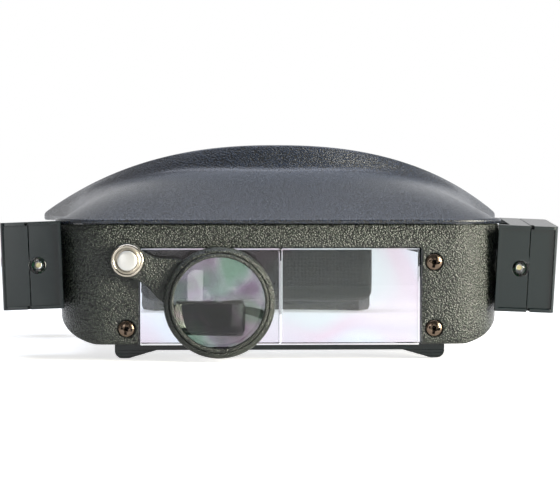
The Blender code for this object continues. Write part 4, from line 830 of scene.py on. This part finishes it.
def lamps():
    for name, side in SIDES:
        body = f"lamp_{name}"
        nod = LAMP_NOD[name]
        case = from_part(f"{body}_shell", f"{body}_case", 0.3, 2, 40)
        lid = from_part(f"{body}_cover", f"{body}_lid", 0.3, 2, 40)
        for level in (-1, 1):
            low = sorted((level * 14.2, level * 15.8))
            notch = brick("notch", (7.5, -15.0, low[0]), (8.6, -10.5, low[1]))
            combine(lid, at_lamp(notch, side, nod), "DIFFERENCE")
        dress(case, body, satin_abs, "smooth_plastic", f"{body}_case")
        dress(even_shade(lid), f"{body}_lid", satin_abs, "smooth_plastic", f"{body}_lid")
        levels = dome(2.5, -13.8, 2.5, 10) + [(2.5, -9.2), (2.72, -9.1), (2.72, -7.9), (2.6, -7.8)]
        bulb = lay(turned(f"{body}_bulb", levels, 48), (LED_ACROSS * MM, 0, 0), ALONG_DEPTH)
        dress(smooth(at_lamp(bulb, side, nod), 40), body, clear_epoxy, "led", f"{body}_led")
        cup = [(0.55, -8.6), (0.6, -10.4), (0.68, -10.6), (0.55, -10.6), (0.3, -10.2)]
        anvil = lay(turned(f"{body}_cup", cup, 24), (LED_ACROSS * MM, 0, 0), ALONG_DEPTH)
        dress(smooth(at_lamp(anvil, side, nod), 30), body, bright_steel, "bright_metal")
        dot = turned(f"{body}_phosphor", [(0.3, -10.22), (0.48, -10.5), (0.2, -10.62)], 20)
        lay(dot, (LED_ACROSS * MM, 0, 0), ALONG_DEPTH)
        dress(smooth(at_lamp(dot, side, nod), 30), body, phosphor, "led")
        switch = from_part(f"{body}_slider", f"{body}_switch", 0.25)
        dress(switch, f"{body}_switch", nitrile, "rubber", f"{body}_switch")
        refinish(solder_mask, f"{body}_board")
        refinish(bright_steel, f"{body}_cell_1", f"{body}_cell_2", f"{body}_cell_clip")
        refinish(nitrile, f"lamp_washer_{name}")
        refinish(black_steel, f"lamp_screw_{name}")


# Headband


def head_point(turn, offset):
    cosine, sine = math.cos(turn), math.sin(turn)
    power = 2.0 / HEAD_POWER
    across = math.copysign(abs(cosine) ** power, cosine) * (HEAD_HALF + offset)
    depth = math.copysign(abs(sine) ** power, sine) * (HEAD_LONG + offset)
    return across, HEAD_CENTRE + depth


def band_height(turn):
    depth = head_point(turn, 0.0)[1]
    return BROW_HEIGHT - (depth - HEAD_CENTRE + HEAD_LONG) * math.tan(HEAD_FALL)


def cradle_height(turn):
    return CRADLE_MIDDLE


def pad(name, middle, span, face, thick, half, height_at, body, node):
    """A foam pad as a crowned cushion: fullest along its middle, drawn in to a sewn edge all round.

    It runs a span of degrees to either side of the middle of the head's oval, on a face offset from it.
    """
    stations, around = 72, 40
    rings = []
    for i in range(stations + 1):
        along = 2.0 * i / stations - 1.0
        turn = math.radians(middle + span * along)
        end = max(1.0 - abs(along) ** 7, 0.0) ** 0.5
        full = 0.3 + 0.7 * end
        tall = half * (0.8 + 0.2 * end)
        ring = []
        for k in range(around):
            angle = math.tau * k / around
            up, out = math.cos(angle), math.sin(angle)
            height = tall * math.copysign(abs(up) ** 0.62, up)
            if out >= 0.0:
                pinch = 1.0 - 0.16 * math.exp(-((abs(height) / tall - 0.72) / 0.07) ** 2)
                inward = 1.0 + (thick - 1.4) * full * out**0.62 * pinch
            else:
                inward = 0.15 + 0.85 * (1.0 - abs(out) ** 0.5)
            across, depth = head_point(turn, face - inward)
            ring.append((across, depth, height_at(turn) + height))
        rings.append(ring)
    cushion = swept(name, rings)
    relax(cushion)
    return dress(smooth(cushion, 60), body, foam_skin, "foam", node)


def relax(cushion):
    """Let the skin settle over the foam, then keep each point within a millimetre of where it was drawn."""
    drawn = [v.co.copy() for v in cushion.data.vertices]
    choose(cushion)
    cloth = cushion.modifiers.new("Cloth", "CLOTH")
    cloth.settings.effector_weights.gravity = 0.0
    cloth.settings.use_pressure = True
    cloth.settings.uniform_pressure_force = 4.0
    cloth.settings.quality = 5
    for number in range(1, SETTLE_FRAMES + 1):
        bpy.context.scene.frame_set(number)
    bpy.ops.object.modifier_apply(modifier=cloth.name)
    bpy.context.scene.frame_set(1)
    limit = 1.0 * MM
    for vertex, start in zip(cushion.data.vertices, drawn):
        step = vertex.co - start
        if step.length > limit:
            vertex.co = start + step * (limit / step.length)


def headband():
    band = from_part("brow_shell", "brow_band", 0.35, 2, 40)
    dress(band, "headband", grained_abs, "moulded", "brow_band")
    brow_face, rear_face = -BAND_THICK - 0.3, -6.8
    pad("brow_cushion", -90, 50, brow_face, PAD_THICK, 14.0, band_height, "headband", "brow_pad")
    pad("rear_cushion", 90, 27, rear_face, PAD_THICK, 16.0, cradle_height, "cradle", "rear_pad")
    for name, side in SIDES:
        strap = from_part(f"toothed_strap_{name}", f"strap_{name}", 0.2, 2, 40)
        coat(strap.data, strap_pp)
        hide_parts(f"strap_{name}")
        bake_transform(strap)
        refinish(bright_steel, f"strap_rivet_{name}")
        refinish(black_steel, f"temple_bolt_{name}")
        refinish(nitrile, f"temple_washer_{name}")
        knob = from_part(f"fluted_knob_{name}", f"temple_knob_{name}", 0.35, 2, 40)
        dress(knob, f"temple_knob_{name}", satin_abs, "smooth_plastic", f"temple_knob_{name}")
    housing = from_part("cradle_shell", "rear_housing", 0.5, 3, 40)
    dress(housing, "cradle", grained_abs, "moulded", "rear_housing")
    knob = from_part("fluted_rear_knob", "rear_knob", 0.5, 3, 40)
    dress(knob, "rear_knob", satin_abs, "smooth_plastic", "rear_knob")
    refinish(satin_abs, "rear_cover")
    refinish(strap_pp, "rear_pinion")
    refinish(black_steel, "knob_screw")


def visor_frames():
    clamp = from_part("lens_holder", "lens_clamp", 0.25, 2, 40)
    dress(clamp, "visor", satin_abs, "smooth_plastic", "lens_clamp")
    holder = from_part("flip_holder", "flip_frame", 0.25, 2, 40)
    dress(holder, "flip", satin_abs, "smooth_plastic", "flip_frame")
    refinish(satin_abs, "loupe_retainer")
    refinish(nickel, "loupe_push_nut", "flip_pin_left", "flip_pin_right")


visor_wall()
hood()
lens_plates()
loupe()
face_screws()
loupe_rivet()
lamps()
headband()
visor_frames()


# Floor, light and camera


def seen_or_mirrored(owner, share):
    """Full to the camera, a share to the rays that mirrors and glass send on, none to the others."""
    ray = add(owner, "ShaderNodeLightPath")
    sent_on = reckon(owner, "MAXIMUM", (ray, "Is Glossy Ray"), (ray, "Is Transmission Ray"))
    lit = reckon(owner, "MULTIPLY", (sent_on, "Value"), share)
    return reckon(owner, "MAXIMUM", (ray, "Is Camera Ray"), (lit, "Value"))


def pale_floor():
    """White paper that glows to the camera, and to mirrors and glass where it lies behind the visor."""
    clear_selection()
    bpy.ops.mesh.primitive_plane_add(size=8.0, location=(0, 0, -0.0004))
    floor = named("floor")
    white = (1.0, 1.0, 1.0, 1.0)
    material = surface("pale_paper", "#eeeeee", 0.9, Specular_IOR_Level=0.0, Emission_Color=white)
    place = add(material, "ShaderNodeTexCoord")
    toward = add(material, "ShaderNodeSeparateXYZ", Vector=(place, "Object"))
    behind = spread(material, (toward, "Y"), -0.17, -0.04)
    seen = seen_or_mirrored(material, (behind, "Result"))
    away = reckon(material, "LENGTH", (place, "Object"), kind="ShaderNodeVectorMath")
    glow = spread(material, (away, "Value"), 0.3, 1.5, 0.7, 0.9)
    lift = reckon(material, "MULTIPLY", (seen, "Value"), (glow, "Result"))
    link(material, lift, "Value", "Emission Strength")
    floor.data.materials.append(material)


def studio():
    """A white surround. To mirrors and glass it is dim in front of the visor and high above it."""
    world = bpy.data.worlds.new("studio")
    bpy.context.scene.world = world
    world.use_nodes = True
    place = add(world, "ShaderNodeTexCoord")
    toward = add(world, "ShaderNodeSeparateXYZ", Vector=(place, "Generated"))
    behind = spread(world, (toward, "Y"), -0.55, 0.25)
    above = spread(world, (toward, "Z"), 0.14, 0.62, 1.0, 0.2)
    sky = reckon(world, "MULTIPLY", (behind, "Result"), (above, "Result"))
    seen = seen_or_mirrored(world, (sky, "Value"))
    level = spread(world, (seen, "Value"), 0.0, 1.0, 0.10, 1.0)
    background = world.node_tree.nodes["Background"]
    background.inputs["Color"].default_value = (1.0, 1.0, 1.0, 1.0)
    feed(world, background.inputs["Strength"], (level, "Result"))


def softbox(name, place, aim, size, power, tint="#ffffff"):
    """A rectangular lamp at a place in metres, turned to what it aims at, with its power in watts."""
    data = bpy.data.lights.new(name, "AREA")
    data.color = linear(tint)[:3]
    data.shape = "RECTANGLE"
    data.size, data.size_y = size
    data.energy = power
    lamp = bpy.data.objects.new(name, data)
    bpy.context.scene.collection.objects.link(lamp)
    lamp.location = place
    lamp.rotation_euler = (Vector(aim) - Vector(place)).to_track_quat("-Z", "Y").to_euler()
    lamp.visible_camera = False


def camera():
    data = bpy.data.cameras.new("camera")
    data.lens = 116.9
    data.sensor_width = 36.0
    data.clip_start = 0.02
    seen_from = bpy.data.objects.new("camera", data)
    bpy.context.scene.collection.objects.link(seen_from)
    seen_from.location = (-0.022, FACE_Y * MM - 0.641, 0.0572)
    seen_from.rotation_euler = (math.radians(88.3), 0.0, math.radians(-1.94))
    bpy.context.scene.camera = seen_from


pale_floor()
studio()
softbox("overhead", (0.0, 0.0, 0.78), (0.0, 0.0, 0.03), (1.1, 0.5), 6.0, "#eaf0ff")
softbox("front_right", (0.67, -0.53, 0.10), (0.065, -0.13, 0.03), (0.40, 0.60), 22.0, "#fffae8")
softbox("front_left", (-0.27, -0.85, 0.14), (-0.065, -0.13, 0.03), (0.16, 0.36), 0.8)
camera()
bpy.context.scene.view_settings.view_transform = "Standard"
